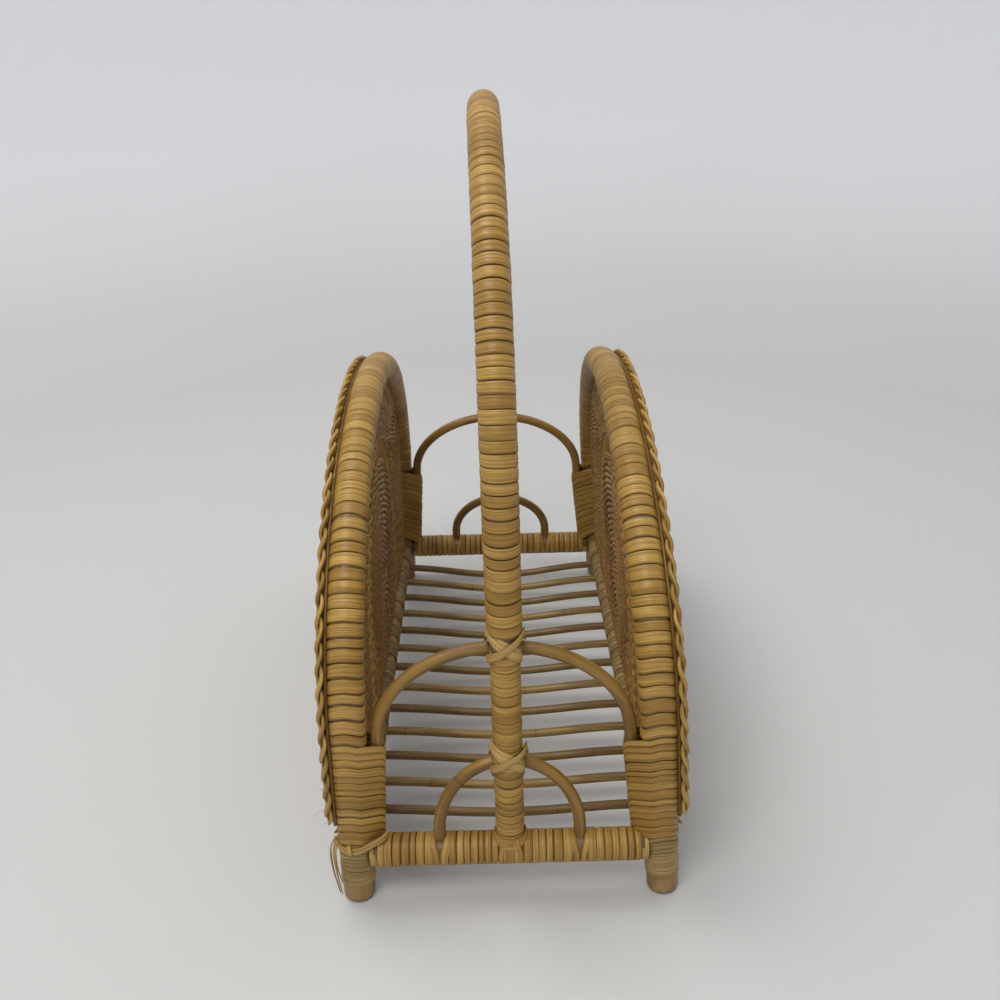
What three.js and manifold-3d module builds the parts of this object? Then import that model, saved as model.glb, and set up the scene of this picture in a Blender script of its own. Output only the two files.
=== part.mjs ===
// Magazine basket of bent cane poles bound in flat reed, with woven fan sides and a hooped carrying handle.
// Millimetres, +Z up, length along Y. The origin lies on the floor under the middle of the basket.
import * as THREE from 'three';
import { mergeVertices } from 'three/addons/utils/BufferGeometryUtils.js';
import Module from 'manifold-3d';

const wasm = await Module();
wasm.setup();

// Frame
const legSpacing = 180; // across, between the leg centres on the floor
const endSpacing = 392; // along, between the leg centres
const hoopSpring = 110; // height where the legs of a side hoop turn into its bow
const hoopTop = 253.5; // height of the centre line over the crown of a side hoop
const leftLean = 4.7; // how far the crown of the left hoop leans in
const rightLean = 15; // how far the crown of the right hoop leans in
const legRadius = 9.2;
const legChamfer = 1.6;
const railHeight = 32.5; // height of the centre lines of all four rails
const endRailRadius = 9.4;
const sideRailRadius = 8.2;

// Handle
const handleSpring = 231; // height where its posts turn into its bow
const handleTop = 424.5; // height of its centre line over the crown
const handleOffset = 0.5; // how far right of the middle its feet stand
const handleLean = 2.6; // how far left the handle leans evenly, from the floor to the crown
const handleBend = 2.7; // how far left the bow bends on top of that, mostly near the crown
const handleBendPower = 8;
const postRadius = 7.2; // shaved thinner below the upper crossing
const bowRadius = 8.2;
const taperLength = 19; // length of the shaved taper, round the upper crossing

// Arches of thin cane at both ends
const archRadius = 3.6;
const archTop = 161.5; // centre line of the outer arch over its crown
const archSpring = 110; // height where it leaves the binding of the legs
const archFoot = 46; // its cut ends, inside the binding of the legs
const archInset = 4; // how far inside the leg centres its ends stand
const innerArchTop = 85;
const innerArchSpan = 81; // between the centres of its feet
const innerArchSpring = 47;
const innerArchDepth = 5; // how deep its feet stand in the end rail

// Floor
const slatCount = 13;
const slatInset = 38; // from the leg centres to the first and the last slat
const slatRadius = 2.9;
const slatDrop = 2.6; // how far the left ends of the slats lie under the centre of the side rails
const slatTilt = 1; // how much lower their right ends lie
const slatDepth = 4.6; // how deep they stand in the side rails
const frontSag = 4.3;
const backSag = 8.5;

// Woven side panels
const panelThickness = 3.6;
const fretSpan = 180; // between the two legs of the ring of open work
const fretSpring = 110;
const fretTop = 200;
const fretCount = 46; // in the first of the two staggered rows
const fretLength = 8; // of one open diamond, across the ring
const fretWidth = 5; // of one open diamond, along the ring
const fretRowOffset = 4.2; // of each row from the middle of the ring
const fretFoot = 52; // lowest diamond

// Plaited edges
const braidWidth = 13;
const braidThickness = 3.6;
const braidStandoff = 0.9; // the stake ends that lift the plait off the hoop
const stakeRowWidth = 5;
const frontBraidFoot = 54;
const backBraidFoot = 60;

// Bindings of flat reed
const reedThickness = 0.6;
const reedGap = 0.8; // between neighbouring turns
const reedBevel = 0.5;
const snugClearance = 0.35; // round a straight pole
const bowClearance = 1.25; // round a bow, where wide turns span the curve
const hoopTurns = 19;
const handleTurns = 20;
const legTurns = 6;
const footTurns = 2;
const postTurns = 7;
const railTurnsToArch = 2;
const railTurnsPastArch = 1;
const footBindingFoot = 11;
const footBindingTop = 22;
const legBindingFoot = 43.5;
const legBindingTop = 110;
const postBindingFoot = 53;
const postBindingTop = 157;
const handleBindingFoot = 178.5;
const bindingBreak = 1; // between two bindings that follow each other on a pole

// Lashings, straps and tie
const lashWidth = 5.4;
const lashThickness = 0.9;
const lashRise = 3; // of a strip above the crossing, at the side of the post where it comes down
const lashDrop = 7.2; // of a strip below the arch, at the side of the post where it passes under
const upperLashLift = 7; // of the crossing in front of the post over the centre line of the arch
const lowerLashLift = 8.5;
const lashClearance = 2; // round the post, where the strips run aslant over its facets
const lashArchClearance = 1; // round the arch, where the strips twist
const lashEndGap = 25; // degrees between the middle of the back of the arch and the two ends of a strip
const strapWidth = 6;
const tieRadius = 1.2;
const tieHeight = 45;
const tieSpacing = 3.8; // between the two strands of the tie
const tieTailFoot = 9;
const tieTailSpread = 4; // how far the loose ends stand off the leg

// Nails
const nailRadius = 1.2;
const nailHeadRadius = 2.5;
const nailHeadThickness = 0.8;
const nailBite = 14; // how deep a nail stands in the end of a rail
const nailPitch = 3.5; // above and below the centre of the rails, so that two nails pass in a leg

// Fits
const gap = 0.3; // between pieces that seat on each other
const overrun = 1; // of every cutting tool past the face that it opens

// Counts of the facets
const poleSides = 8;
const octant = (2 * Math.PI) / poleSides;
const hoopSteps = 30;
const handleSteps = 28;
const outerArchSteps = 16;
const innerArchSteps = 12;
const slatSides = 6;
const slatSteps = 4;
const braidSteps = 26;
const panelSteps = 26;
const tieSides = 5;
const nailSides = 6;

const hoopLean = { '-1': leftLean / hoopTop, 1: rightLean / hoopTop };
const sideName = { '-1': 'left', 1: 'right' };
const endName = { '-1': 'front', 1: 'back' };
const bothSides = [-1, 1];
const bothEnds = [-1, 1];

const caneTan = { color: 0xb08a52, roughness: 0.55, metalness: 0 };
const reedTan = { color: 0xb58f55, roughness: 0.45, metalness: 0 };
const archOlive = { color: 0x9c7d45, roughness: 0.5, metalness: 0 };
const slatBrown = { color: 0x7c6440, roughness: 0.55, metalness: 0 };
const weaveTan = { color: 0xa5804a, roughness: 0.65, metalness: 0 };
const steel = { color: 0x8b8d8f, roughness: 0.4, metalness: 1 };

const basket = new THREE.Group();

// Adds one named piece to the basket.
function addPiece(name, geometry, finish) {
  const piece = new THREE.Mesh(geometry, new THREE.MeshStandardMaterial(finish));
  piece.name = name;
  basket.add(piece);
  return piece;
}

// Distance from the centre of an eight sided pole to its flats, and the other way round.
function flatOf(radius) {
  return radius * Math.cos(octant / 2);
}

function cornerOf(flat) {
  return flat / Math.cos(octant / 2);
}

// Turns a shell inside out when its faces point in.
function facingOut(geometry) {
  const places = geometry.attributes.position;
  const index = Array.from(geometry.index.array);
  const corners = [new THREE.Vector3(), new THREE.Vector3(), new THREE.Vector3()];
  let volume = 0;
  for (let first = 0; first < index.length; first += 3) {
    corners.forEach((corner, step) => corner.fromBufferAttribute(places, index[first + step]));
    volume += corners[0].dot(corners[1].cross(corners[2]));
  }
  if (volume < 0) {
    geometry.setIndex(index.reverse());
  }
  return geometry;
}

// Triangles over the end of a round or a four sided ring.
function fan(sides) {
  return Array.from({ length: sides - 2 }, (unused, step) => [0, step + 1, step + 2]);
}

// One closed body from rings of points, each ring with as many points, with flat ends.
// Both faces of a strip are split along the same, shorter diagonal.
// In this way a twisted strip keeps its thickness.
function skin(rings, endFaces = fan(rings[0].length)) {
  const sides = rings[0].length;
  const last = (rings.length - 1) * sides;
  const index = [];
  for (let ring = 0; ring < rings.length - 1; ring += 1) {
    const [low, high] = [rings[ring], rings[ring + 1]];
    const straight = low[0].distanceTo(high[1]) < low[1].distanceTo(high[0]);
    for (let side = 0; side < sides; side += 1) {
      const here = ring * sides + side;
      const next = ring * sides + ((side + 1) % sides);
      if (side < sides / 2 === straight) {
        index.push(here, next, next + sides, here, next + sides, here + sides);
      } else {
        index.push(here, next, here + sides, next, next + sides, here + sides);
      }
    }
  }
  endFaces.forEach(([a, b, c]) => index.push(a, c, b, last + a, last + b, last + c));
  const geometry = new THREE.BufferGeometry();
  const places = rings.flat().flatMap((point) => point.toArray());
  geometry.setAttribute('position', new THREE.Float32BufferAttribute(places, 3));
  geometry.setIndex(index);
  return facingOut(geometry);
}

// Leaves only shared positions, without the flat triangles that a pole of a lathe or a sphere has.
function welded(geometry) {
  const plain = geometry.clone();
  plain.deleteAttribute('normal');
  plain.deleteAttribute('uv');
  const merged = mergeVertices(plain);
  const index = merged.index.array;
  const kept = [];
  for (let first = 0; first < index.length; first += 3) {
    const [a, b, c] = [index[first], index[first + 1], index[first + 2]];
    if (a !== b && b !== c && c !== a) {
      kept.push(a, b, c);
    }
  }
  merged.setIndex(kept);
  return facingOut(merged);
}

function toSolid(geometry) {
  const shell = welded(geometry);
  return new wasm.Manifold(new wasm.Mesh({
    numProp: 3,
    vertProperties: new Float32Array(shell.attributes.position.array),
    triVerts: new Uint32Array(shell.index.array),
  }));
}

function toGeometry(solid) {
  const mesh = solid.getMesh();
  const geometry = new THREE.BufferGeometry();
  geometry.setAttribute('position', new THREE.Float32BufferAttribute(mesh.vertProperties, 3));
  geometry.setIndex(Array.from(mesh.triVerts));
  return geometry;
}

// Cuts every tool out of a piece.
function drilled(geometry, tools) {
  return toGeometry(tools.reduce((solid, tool) => solid.subtract(toSolid(tool)), toSolid(geometry)));
}

// Straight round bar with its flats square to the axes, from its middle, length and direction.
function bar(radius, length, direction, middle, sides = poleSides) {
  const geometry = new THREE.CylinderGeometry(radius, radius, length, sides, 1, false, Math.PI / sides);
  const turn = new THREE.Quaternion().setFromUnitVectors(new THREE.Vector3(0, 1, 0), direction);
  geometry.applyQuaternion(turn);
  geometry.translate(middle.x, middle.y, middle.z);
  return geometry;
}

const alongX = new THREE.Vector3(1, 0, 0);
const alongY = new THREE.Vector3(0, 1, 0);
const alongZ = new THREE.Vector3(0, 0, 1);

// A bow of cane: two straight legs joined by half an ellipse through the crown.
class Bow extends THREE.Curve {
  constructor(foot, spring, crown, farSpring, farFoot) {
    super();
    this.arcLengthDivisions = 600;
    this.legShare = 0.25;
    Object.assign(this, { foot, spring, farSpring, farFoot });
    this.middle = spring.clone().add(farSpring).multiplyScalar(1 / 2);
    this.spread = spring.clone().sub(this.middle);
    this.rise = crown.clone().sub(this.middle);
  }

  getPoint(share, target = new THREE.Vector3()) {
    const bowShare = 1 - 2 * this.legShare;
    if (share < this.legShare) {
      return target.lerpVectors(this.foot, this.spring, share / this.legShare);
    }
    if (share > 1 - this.legShare) {
      return target.lerpVectors(this.farSpring, this.farFoot, (share - 1 + this.legShare) / this.legShare);
    }
    const turn = (Math.PI * (share - this.legShare)) / bowShare;
    target.copy(this.middle);
    target.addScaledVector(this.spread, Math.cos(turn));
    return target.addScaledVector(this.rise, Math.sin(turn));
  }

  // Places of the rings of a pole: both ends, both springs and even steps between them.
  rings(steps) {
    const shares = [0];
    for (let step = 0; step <= steps; step += 1) {
      shares.push(this.legShare + ((1 - 2 * this.legShare) * step) / steps);
    }
    shares.push(1);
    return shares;
  }
}

// Section axes at one place of a curve: one along the given side, one towards the inside of the bow.
function sectionAxes(curve, share, side, byLength) {
  const point = byLength ? curve.getPointAt(share) : curve.getPoint(share);
  const tangent = byLength ? curve.getTangentAt(share) : curve.getTangent(share);
  const across = side.clone().addScaledVector(tangent, -side.dot(tangent)).normalize();
  const inward = tangent.clone().cross(across);
  return { point, across, inward };
}

function inSection(axes, x, y) {
  return axes.point.clone().addScaledVector(axes.across, x).addScaledVector(axes.inward, y);
}

// Eight corners of a belt drawn round one or two round cores of a section, with a clearance to their flats.
function belt(cores, clearance) {
  const reach = [];
  for (let side = 0; side < poleSides; side += 1) {
    const [across, inward] = [Math.cos(side * octant), Math.sin(side * octant)];
    const reaches = cores.map((core) => core.x * across + core.y * inward + flatOf(core.radius));
    reach.push(Math.max(...reaches) + clearance);
  }
  return reach.map((near, side) => {
    const far = reach[(side + 1) % poleSides];
    const [start, end] = [side * octant, (side + 1) * octant];
    const x = (near * Math.sin(end) - far * Math.sin(start)) / Math.sin(octant);
    const y = (far * Math.cos(start) - near * Math.cos(end)) / Math.sin(octant);
    return new THREE.Vector2(x, y);
  });
}

// Round pole along a curve, its radius a function of the height of the ring.
function pole(curve, shares, side, radiusAt) {
  return skin(shares.map((share) => {
    const axes = sectionAxes(curve, share, side, false);
    const corners = belt([{ x: 0, y: 0, radius: radiusAt(axes.point.z, share) }], 0);
    return corners.map((corner) => inSection(axes, corner.x, corner.y));
  }));
}

// Least distance between the turns of one strip, between the corners and edge middles of its rings.
function leastGap(name, rings, apart) {
  const dense = rings.map((ring) => ring.flatMap((corner, side) => {
    const next = ring[(side + 1) % ring.length];
    return [corner, corner.clone().lerp(next, 1 / 2)];
  }));
  let least = Infinity;
  for (let first = 0; first < dense.length; first += 1) {
    for (let second = first + apart; second < dense.length; second += 1) {
      for (const one of dense[first]) {
        for (const other of dense[second]) {
          least = Math.min(least, one.distanceTo(other));
        }
      }
    }
  }
  console.log(`${name} clears itself by ${least.toFixed(2)} mm`);
}

// Even turns of a strip between two places of a curve.
function evenTurns(from, to, turns) {
  const pitch = (to - from + reedGap) / (turns + 1);
  const width = pitch - reedGap;
  const alongAt = (step) => from + width / 2 + (pitch * step) / poleSides;
  return { width, steps: turns * poleSides, alongAt };
}

// Turns that leave room round a foot standing in the flat between the last and the first corner of a pole.
function partedTurns(length, footPlace, footReach, turnsBefore, turnsAfter) {
  const before = footPlace - footReach;
  const after = length - footPlace - footReach;
  const stepsBefore = turnsBefore * poleSides;
  const stepsAside = poleSides - 1;
  const steps = stepsBefore + poleSides + turnsAfter * poleSides;
  const turnsLeft = (steps - stepsBefore - stepsAside) / poleSides;
  const widthBefore = (before - turnsBefore * reedGap) / (turnsBefore + 1);
  const widthAfter = (after - turnsLeft * reedGap) / (turnsLeft + 1);
  const width = Math.min(widthBefore, widthAfter);
  const stops = [
    { step: 0, along: width / 2 },
    { step: stepsBefore, along: before - width / 2 },
    { step: stepsBefore + stepsAside, along: footPlace + footReach + width / 2 },
    { step: steps, along: length - width / 2 },
  ];
  const alongAt = (step) => {
    const next = Math.max(stops.findIndex((stop) => stop.step >= step), 1);
    const [low, high] = [stops[next - 1], stops[next]];
    return THREE.MathUtils.mapLinear(step, low.step, high.step, low.along, high.along);
  };
  return { width, steps, alongAt };
}

// Flat reed wound round cores that follow a curve: one unbroken strip, its width along the curve.
function winding(name, curve, side, cores, clearance, { width, steps, alongAt }) {
  const length = curve.getLength();
  const inner = belt(cores, clearance);
  const outer = belt(cores, clearance + reedThickness);
  const rings = [];
  for (let step = 0; step <= steps; step += 1) {
    const along = alongAt(step);
    const corner = step % poleSides;
    const lower = sectionAxes(curve, (along - width / 2) / length, side, true);
    const upper = sectionAxes(curve, (along + width / 2) / length, side, true);
    const lowerBevel = sectionAxes(curve, (along - width / 2 + reedBevel) / length, side, true);
    const upperBevel = sectionAxes(curve, (along + width / 2 - reedBevel) / length, side, true);
    rings.push([
      inSection(lower, inner[corner].x, inner[corner].y),
      inSection(upper, inner[corner].x, inner[corner].y),
      inSection(upperBevel, outer[corner].x, outer[corner].y),
      inSection(lowerBevel, outer[corner].x, outer[corner].y),
    ]);
  }
  return { name, rings };
}

// Strip of reed through given stops, each with the way that its flat side faces.
function strip(stops, width, thickness) {
  const route = new THREE.CatmullRomCurve3(stops.map((stop) => stop.at), false, 'centripetal');
  return stops.map((stop, number) => {
    const tangent = route.getTangent(number / (stops.length - 1));
    const faces = stop.faces.clone().addScaledVector(tangent, -stop.faces.dot(tangent)).normalize();
    const across = tangent.clone().cross(faces);
    const corner = (x, y) => stop.at.clone().addScaledVector(across, x).addScaledVector(faces, y);
    return [
      corner(-width / 2, -thickness / 2),
      corner(width / 2, -thickness / 2),
      corner(width / 2, thickness / 2),
      corner(-width / 2, thickness / 2),
    ];
  });
}

// Stands a piece drawn about the plane of a side hoop on its own side, leaning in with the hoop.
function standAt(side, point) {
  point.x = side * (legSpacing / 2 - hoopLean[side] * point.z + point.x);
  return point;
}

function standGeometry(side, geometry) {
  const places = geometry.attributes.position;
  const point = new THREE.Vector3();
  for (let corner = 0; corner < places.count; corner += 1) {
    standAt(side, point.fromBufferAttribute(places, corner));
    places.setXYZ(corner, point.x, point.y, point.z);
  }
  return facingOut(geometry);
}

function standRings(side, rings) {
  return rings.map((ring) => ring.map((point) => standAt(side, point)));
}

// The handle stands a little right of the middle and leans left.
function handleCentre(height) {
  const share = height / handleTop;
  return handleOffset - handleLean * share - handleBend * share ** handleBendPower;
}

function leanHandle(point) {
  point.x += handleCentre(point.z);
  return point;
}

function leanHandleGeometry(geometry) {
  const places = geometry.attributes.position;
  const point = new THREE.Vector3();
  for (let corner = 0; corner < places.count; corner += 1) {
    leanHandle(point.fromBufferAttribute(places, corner));
    places.setXYZ(corner, point.x, point.y, point.z);
  }
  return geometry;
}

function legCentre(side, height) {
  return side * (legSpacing / 2 - hoopLean[side] * height);
}

const hoopCurve = new Bow(
  new THREE.Vector3(0, -endSpacing / 2, 0),
  new THREE.Vector3(0, -endSpacing / 2, hoopSpring),
  new THREE.Vector3(0, 0, hoopTop),
  new THREE.Vector3(0, endSpacing / 2, hoopSpring),
  new THREE.Vector3(0, endSpacing / 2, 0),
);
const hoopLength = hoopCurve.getLength();

const handleFoot = railHeight + flatOf(endRailRadius) + gap;
const handleCurve = new Bow(
  new THREE.Vector3(0, -endSpacing / 2, handleFoot),
  new THREE.Vector3(0, -endSpacing / 2, handleSpring),
  new THREE.Vector3(0, 0, handleTop),
  new THREE.Vector3(0, endSpacing / 2, handleSpring),
  new THREE.Vector3(0, endSpacing / 2, handleFoot),
);
const handleLength = handleCurve.getLength();

// Nails: one pins each end of an end rail through the leg, one each end of a side rail.
function nail(length) {
  const profile = [
    new THREE.Vector2(0, -length),
    new THREE.Vector2(nailRadius, -length),
    new THREE.Vector2(nailRadius, 0),
    new THREE.Vector2(nailHeadRadius, 0),
    new THREE.Vector2(nailHeadRadius, nailHeadThickness),
    new THREE.Vector2(0, nailHeadThickness),
  ];
  return welded(new THREE.LatheGeometry(profile, nailSides));
}

const endNailHeight = railHeight + nailPitch;
const sideNailHeight = railHeight - nailPitch;
const nailBore = nailRadius + gap;
const headLift = gap + nailHeadRadius * hoopLean[1];
const endNailLength = 2 * flatOf(legRadius) + headLift + gap + nailBite;
const sideNailLength = 2 * flatOf(legRadius) + gap + gap + nailBite;

for (const side of bothSides) {
  for (const end of bothEnds) {
    const endNailName = `${endName[end]}_${sideName[side]}_end_rail_nail`;
    const endNail = addPiece(endNailName, nail(endNailLength), steel);
    const outerFlat = legCentre(side, endNailHeight) + side * (flatOf(legRadius) + headLift);
    endNail.position.set(outerFlat, (end * endSpacing) / 2, endNailHeight);
    endNail.rotation.z = (-side * Math.PI) / 2;
    const sideNailName = `${endName[end]}_${sideName[side]}_side_rail_nail`;
    const sideNail = addPiece(sideNailName, nail(sideNailLength), steel);
    const outerEnd = end * (endSpacing / 2 + flatOf(legRadius) + gap);
    sideNail.position.set(legCentre(side, sideNailHeight), outerEnd, sideNailHeight);
    sideNail.rotation.z = end < 0 ? Math.PI : 0;
  }
}

// Side hoops: one bent pole each, its two ends the feet.
function buildHoop(side) {
  const shares = hoopCurve.rings(hoopSteps);
  const chamferShare = (hoopCurve.legShare * legChamfer) / hoopSpring;
  shares.splice(1, 0, chamferShare);
  shares.splice(shares.length - 1, 0, 1 - chamferShare);
  const radiusAt = (height, share) => (share === 0 || share === 1 ? legRadius - legChamfer : legRadius);
  const geometry = standGeometry(side, pole(hoopCurve, shares, alongX, radiusAt));
  const bores = [];
  for (const end of bothEnds) {
    const bore = 2 * legRadius + 2 * overrun;
    const y = (end * endSpacing) / 2;
    const across = new THREE.Vector3(legCentre(side, endNailHeight), y, endNailHeight);
    const along = new THREE.Vector3(legCentre(side, sideNailHeight), y, sideNailHeight);
    bores.push(bar(nailBore, bore, alongX, across, nailSides));
    bores.push(bar(nailBore, bore, alongY, along, nailSides));
  }
  addPiece(`${sideName[side]}_hoop`, drilled(geometry, bores), caneTan);
}

// Handle: one bent pole that stands on both end rails, shaved thinner below the upper crossings.
function buildHandle() {
  const taperStart = postBindingTop + bindingBreak;
  const taperEnd = taperStart + taperLength;
  const postLength = handleSpring - handleFoot;
  const atHeight = (height) => (handleCurve.legShare * (height - handleFoot)) / postLength;
  const shares = handleCurve.rings(handleSteps);
  shares.splice(1, 0, atHeight(taperStart), atHeight(taperEnd));
  shares.splice(shares.length - 1, 0, 1 - atHeight(taperEnd), 1 - atHeight(taperStart));
  const radiusAt = (height) => {
    const share = THREE.MathUtils.clamp((height - taperStart) / taperLength, 0, 1);
    return THREE.MathUtils.lerp(postRadius, bowRadius, share);
  };
  addPiece('handle_hoop', leanHandleGeometry(pole(handleCurve, shares, alongX, radiusAt)), caneTan);
}

// End rails: short poles nailed between the legs, with two blind holes for the feet of the inner arch.
const endRailTop = railHeight + endRailRadius;
const endRailLeft = legCentre(-1, endRailTop) + flatOf(legRadius) + gap;
const endRailRight = legCentre(1, endRailTop) - flatOf(legRadius) - gap;
const innerArchFoot = railHeight + flatOf(endRailRadius) - innerArchDepth;

function buildEndRail(end) {
  const y = (end * endSpacing) / 2;
  const middle = new THREE.Vector3((endRailLeft + endRailRight) / 2, y, railHeight);
  const tools = [];
  for (const side of bothSides) {
    const railEnd = side < 0 ? endRailLeft : endRailRight;
    const nailMiddle = new THREE.Vector3(railEnd, y, endNailHeight);
    tools.push(bar(nailBore, 2 * (nailBite + gap), alongX, nailMiddle, nailSides));
    const holeTop = railHeight + endRailRadius + overrun;
    const holeFoot = innerArchFoot - gap;
    const holeMiddle = new THREE.Vector3((side * innerArchSpan) / 2, y, (holeTop + holeFoot) / 2);
    tools.push(bar(archRadius + gap, holeTop - holeFoot, alongZ, holeMiddle));
  }
  const geometry = bar(endRailRadius, endRailRight - endRailLeft, alongX, middle);
  addPiece(`${endName[end]}_end_rail`, drilled(geometry, tools), caneTan);
}

// Side rails: long poles between the legs, drilled along their inner side for the floor slats.
const sideRailLength = endSpacing - 2 * (flatOf(legRadius) + gap);
const slatSpan = endSpacing - 2 * slatInset;

// Height of the slats between their left ends and their right ends.
function slatHeight(share) {
  return railHeight - slatDrop - slatTilt * share;
}

function slatPlace(slat) {
  return -slatSpan / 2 + (slatSpan * slat) / (slatCount - 1);
}

function buildSideRail(side) {
  const x = legCentre(side, railHeight);
  const innerFace = x - side * flatOf(sideRailRadius);
  const height = slatHeight(side < 0 ? 0 : 1);
  const tools = [];
  for (let slat = 0; slat < slatCount; slat += 1) {
    const holeMiddle = new THREE.Vector3(innerFace, slatPlace(slat), height);
    tools.push(bar(slatRadius + gap, 2 * (slatDepth + gap), alongX, holeMiddle, slatSides));
  }
  for (const end of bothEnds) {
    const railEnd = (end * sideRailLength) / 2;
    const nailMiddle = new THREE.Vector3(legCentre(side, sideNailHeight), railEnd, sideNailHeight);
    tools.push(bar(nailBore, 2 * (nailBite + gap), alongY, nailMiddle, nailSides));
  }
  const geometry = bar(sideRailRadius, sideRailLength, alongY, new THREE.Vector3(x, 0, railHeight));
  addPiece(`${sideName[side]}_side_rail`, drilled(geometry, tools), caneTan);
}

// Floor slats: thin canes held in both side rails, each sagging between its sockets.
function buildSlats() {
  const leftEnd = legCentre(-1, railHeight) + flatOf(sideRailRadius) - slatDepth;
  const rightEnd = legCentre(1, railHeight) - flatOf(sideRailRadius) + slatDepth;
  for (let slat = 0; slat < slatCount; slat += 1) {
    const y = slatPlace(slat);
    const sag = THREE.MathUtils.lerp(frontSag, backSag, slat / (slatCount - 1));
    const stops = [new THREE.Vector3(leftEnd, y, slatHeight(0))];
    for (let step = 0; step <= slatSteps; step += 1) {
      const share = step / slatSteps;
      const x = THREE.MathUtils.lerp(leftEnd + slatDepth, rightEnd - slatDepth, share);
      const drop = (sag * (1 - Math.cos(2 * Math.PI * share))) / 2;
      stops.push(new THREE.Vector3(x, y, slatHeight(share) - drop));
    }
    stops.push(new THREE.Vector3(rightEnd, y, slatHeight(1)));
    const rings = stops.map((stop) => {
      const ring = [];
      for (let corner = 0; corner < slatSides; corner += 1) {
        const angle = (2 * Math.PI * corner) / slatSides;
        const place = new THREE.Vector3(0, slatRadius * Math.cos(angle), slatRadius * Math.sin(angle));
        ring.push(place.add(stop));
      }
      return ring;
    });
    const number = String(slat + 1).padStart(2, '0');
    addPiece(`floor_slat_${number}`, skin(rings), slatBrown);
  }
}

// Arches: the outer one is bound to both legs, the inner one stands in the end rail.
// Both pass behind the post.
const hoopBindingReach = cornerOf(flatOf(legRadius) + bowClearance + reedThickness);
const postBindingReach = cornerOf(flatOf(postRadius) + snugClearance + reedThickness);
const archFootOffset = flatOf(legRadius) + gap + flatOf(archRadius);
const archSpringOffset = hoopBindingReach + gap + archRadius;
const archBehindPost = bowRadius + gap + archRadius;
const innerArchBehindPost = postBindingReach + gap + archRadius;

function archFootAt(side) {
  return legCentre(side, archFoot) - side * archFootOffset;
}

function archSpringAt(side) {
  return legCentre(side, archSpring) - side * archSpringOffset;
}

function outerArchCurve(end) {
  const endPlane = end * (endSpacing / 2 - archInset);
  const crown = (archSpringAt(-1) + archSpringAt(1)) / 2;
  return new Bow(
    new THREE.Vector3(archFootAt(-1), endPlane, archFoot),
    new THREE.Vector3(archSpringAt(-1), endPlane, archSpring),
    new THREE.Vector3(crown, end * (endSpacing / 2 - archBehindPost), archTop),
    new THREE.Vector3(archSpringAt(1), endPlane, archSpring),
    new THREE.Vector3(archFootAt(1), endPlane, archFoot),
  );
}

function innerArchCurve(end) {
  const endPlane = (end * endSpacing) / 2;
  return new Bow(
    new THREE.Vector3(-innerArchSpan / 2, endPlane, innerArchFoot),
    new THREE.Vector3(-innerArchSpan / 2, endPlane, innerArchSpring),
    new THREE.Vector3(0, end * (endSpacing / 2 - innerArchBehindPost), innerArchTop),
    new THREE.Vector3(innerArchSpan / 2, endPlane, innerArchSpring),
    new THREE.Vector3(innerArchSpan / 2, endPlane, innerArchFoot),
  );
}

function buildArch(name, curve, steps) {
  addPiece(name, pole(curve, curve.rings(steps), alongY, () => archRadius), archOlive);
}

// Woven panels: a sheet inside each hoop, on the side rail.
// Where its stakes cross it has a ring of open work, two staggered rows of diamonds.
const bindingReach = flatOf(legRadius) + bowClearance + reedThickness;
const panelInset = bindingReach + bowClearance;
const panelFoot = railHeight + flatOf(sideRailRadius) + gap;

function panelOutline() {
  const halfSpan = endSpacing / 2 - panelInset;
  const rise = hoopTop - panelInset - hoopSpring;
  const outline = new THREE.Shape();
  outline.moveTo(-halfSpan, panelFoot);
  outline.lineTo(halfSpan, panelFoot);
  outline.lineTo(halfSpan, hoopSpring);
  for (let step = 1; step < panelSteps; step += 1) {
    const angle = (Math.PI * step) / panelSteps;
    outline.lineTo(halfSpan * Math.cos(angle), hoopSpring + rise * Math.sin(angle));
  }
  outline.lineTo(-halfSpan, hoopSpring);
  outline.closePath();
  return outline;
}

function panelOpenings() {
  const ring = new Bow(
    new THREE.Vector3(-fretSpan / 2, fretFoot, 0),
    new THREE.Vector3(-fretSpan / 2, fretSpring, 0),
    new THREE.Vector3(0, fretTop, 0),
    new THREE.Vector3(fretSpan / 2, fretSpring, 0),
    new THREE.Vector3(fretSpan / 2, fretFoot, 0),
  );
  const openings = [];
  const lastFret = 2 * (fretCount - 1);
  for (let fret = 0; fret <= lastFret; fret += 1) {
    const axes = sectionAxes(ring, fret / lastFret, alongZ, true);
    const tangent = axes.across.clone().cross(axes.inward);
    const row = fret % 2 === 0 ? fretRowOffset : -fretRowOffset;
    const corner = (inward, along) => {
      const at = axes.point.clone().addScaledVector(axes.inward, row + inward);
      at.addScaledVector(tangent, along);
      return new THREE.Vector2(at.x, at.y);
    };
    openings.push(new THREE.Path([
      corner(fretLength / 2, 0),
      corner(0, fretWidth / 2),
      corner(-fretLength / 2, 0),
      corner(0, -fretWidth / 2),
    ]));
  }
  return openings;
}

function buildPanel(side) {
  const sheet = panelOutline();
  sheet.holes = panelOpenings();
  const geometry = new THREE.ExtrudeGeometry(sheet, { depth: panelThickness, bevelEnabled: false });
  geometry.translate(0, 0, -panelThickness / 2);
  geometry.applyMatrix4(new THREE.Matrix4().makeBasis(alongY, alongZ, alongX));
  addPiece(`${sideName[side]}_panel`, standGeometry(side, welded(geometry)), weaveTan);
}

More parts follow.
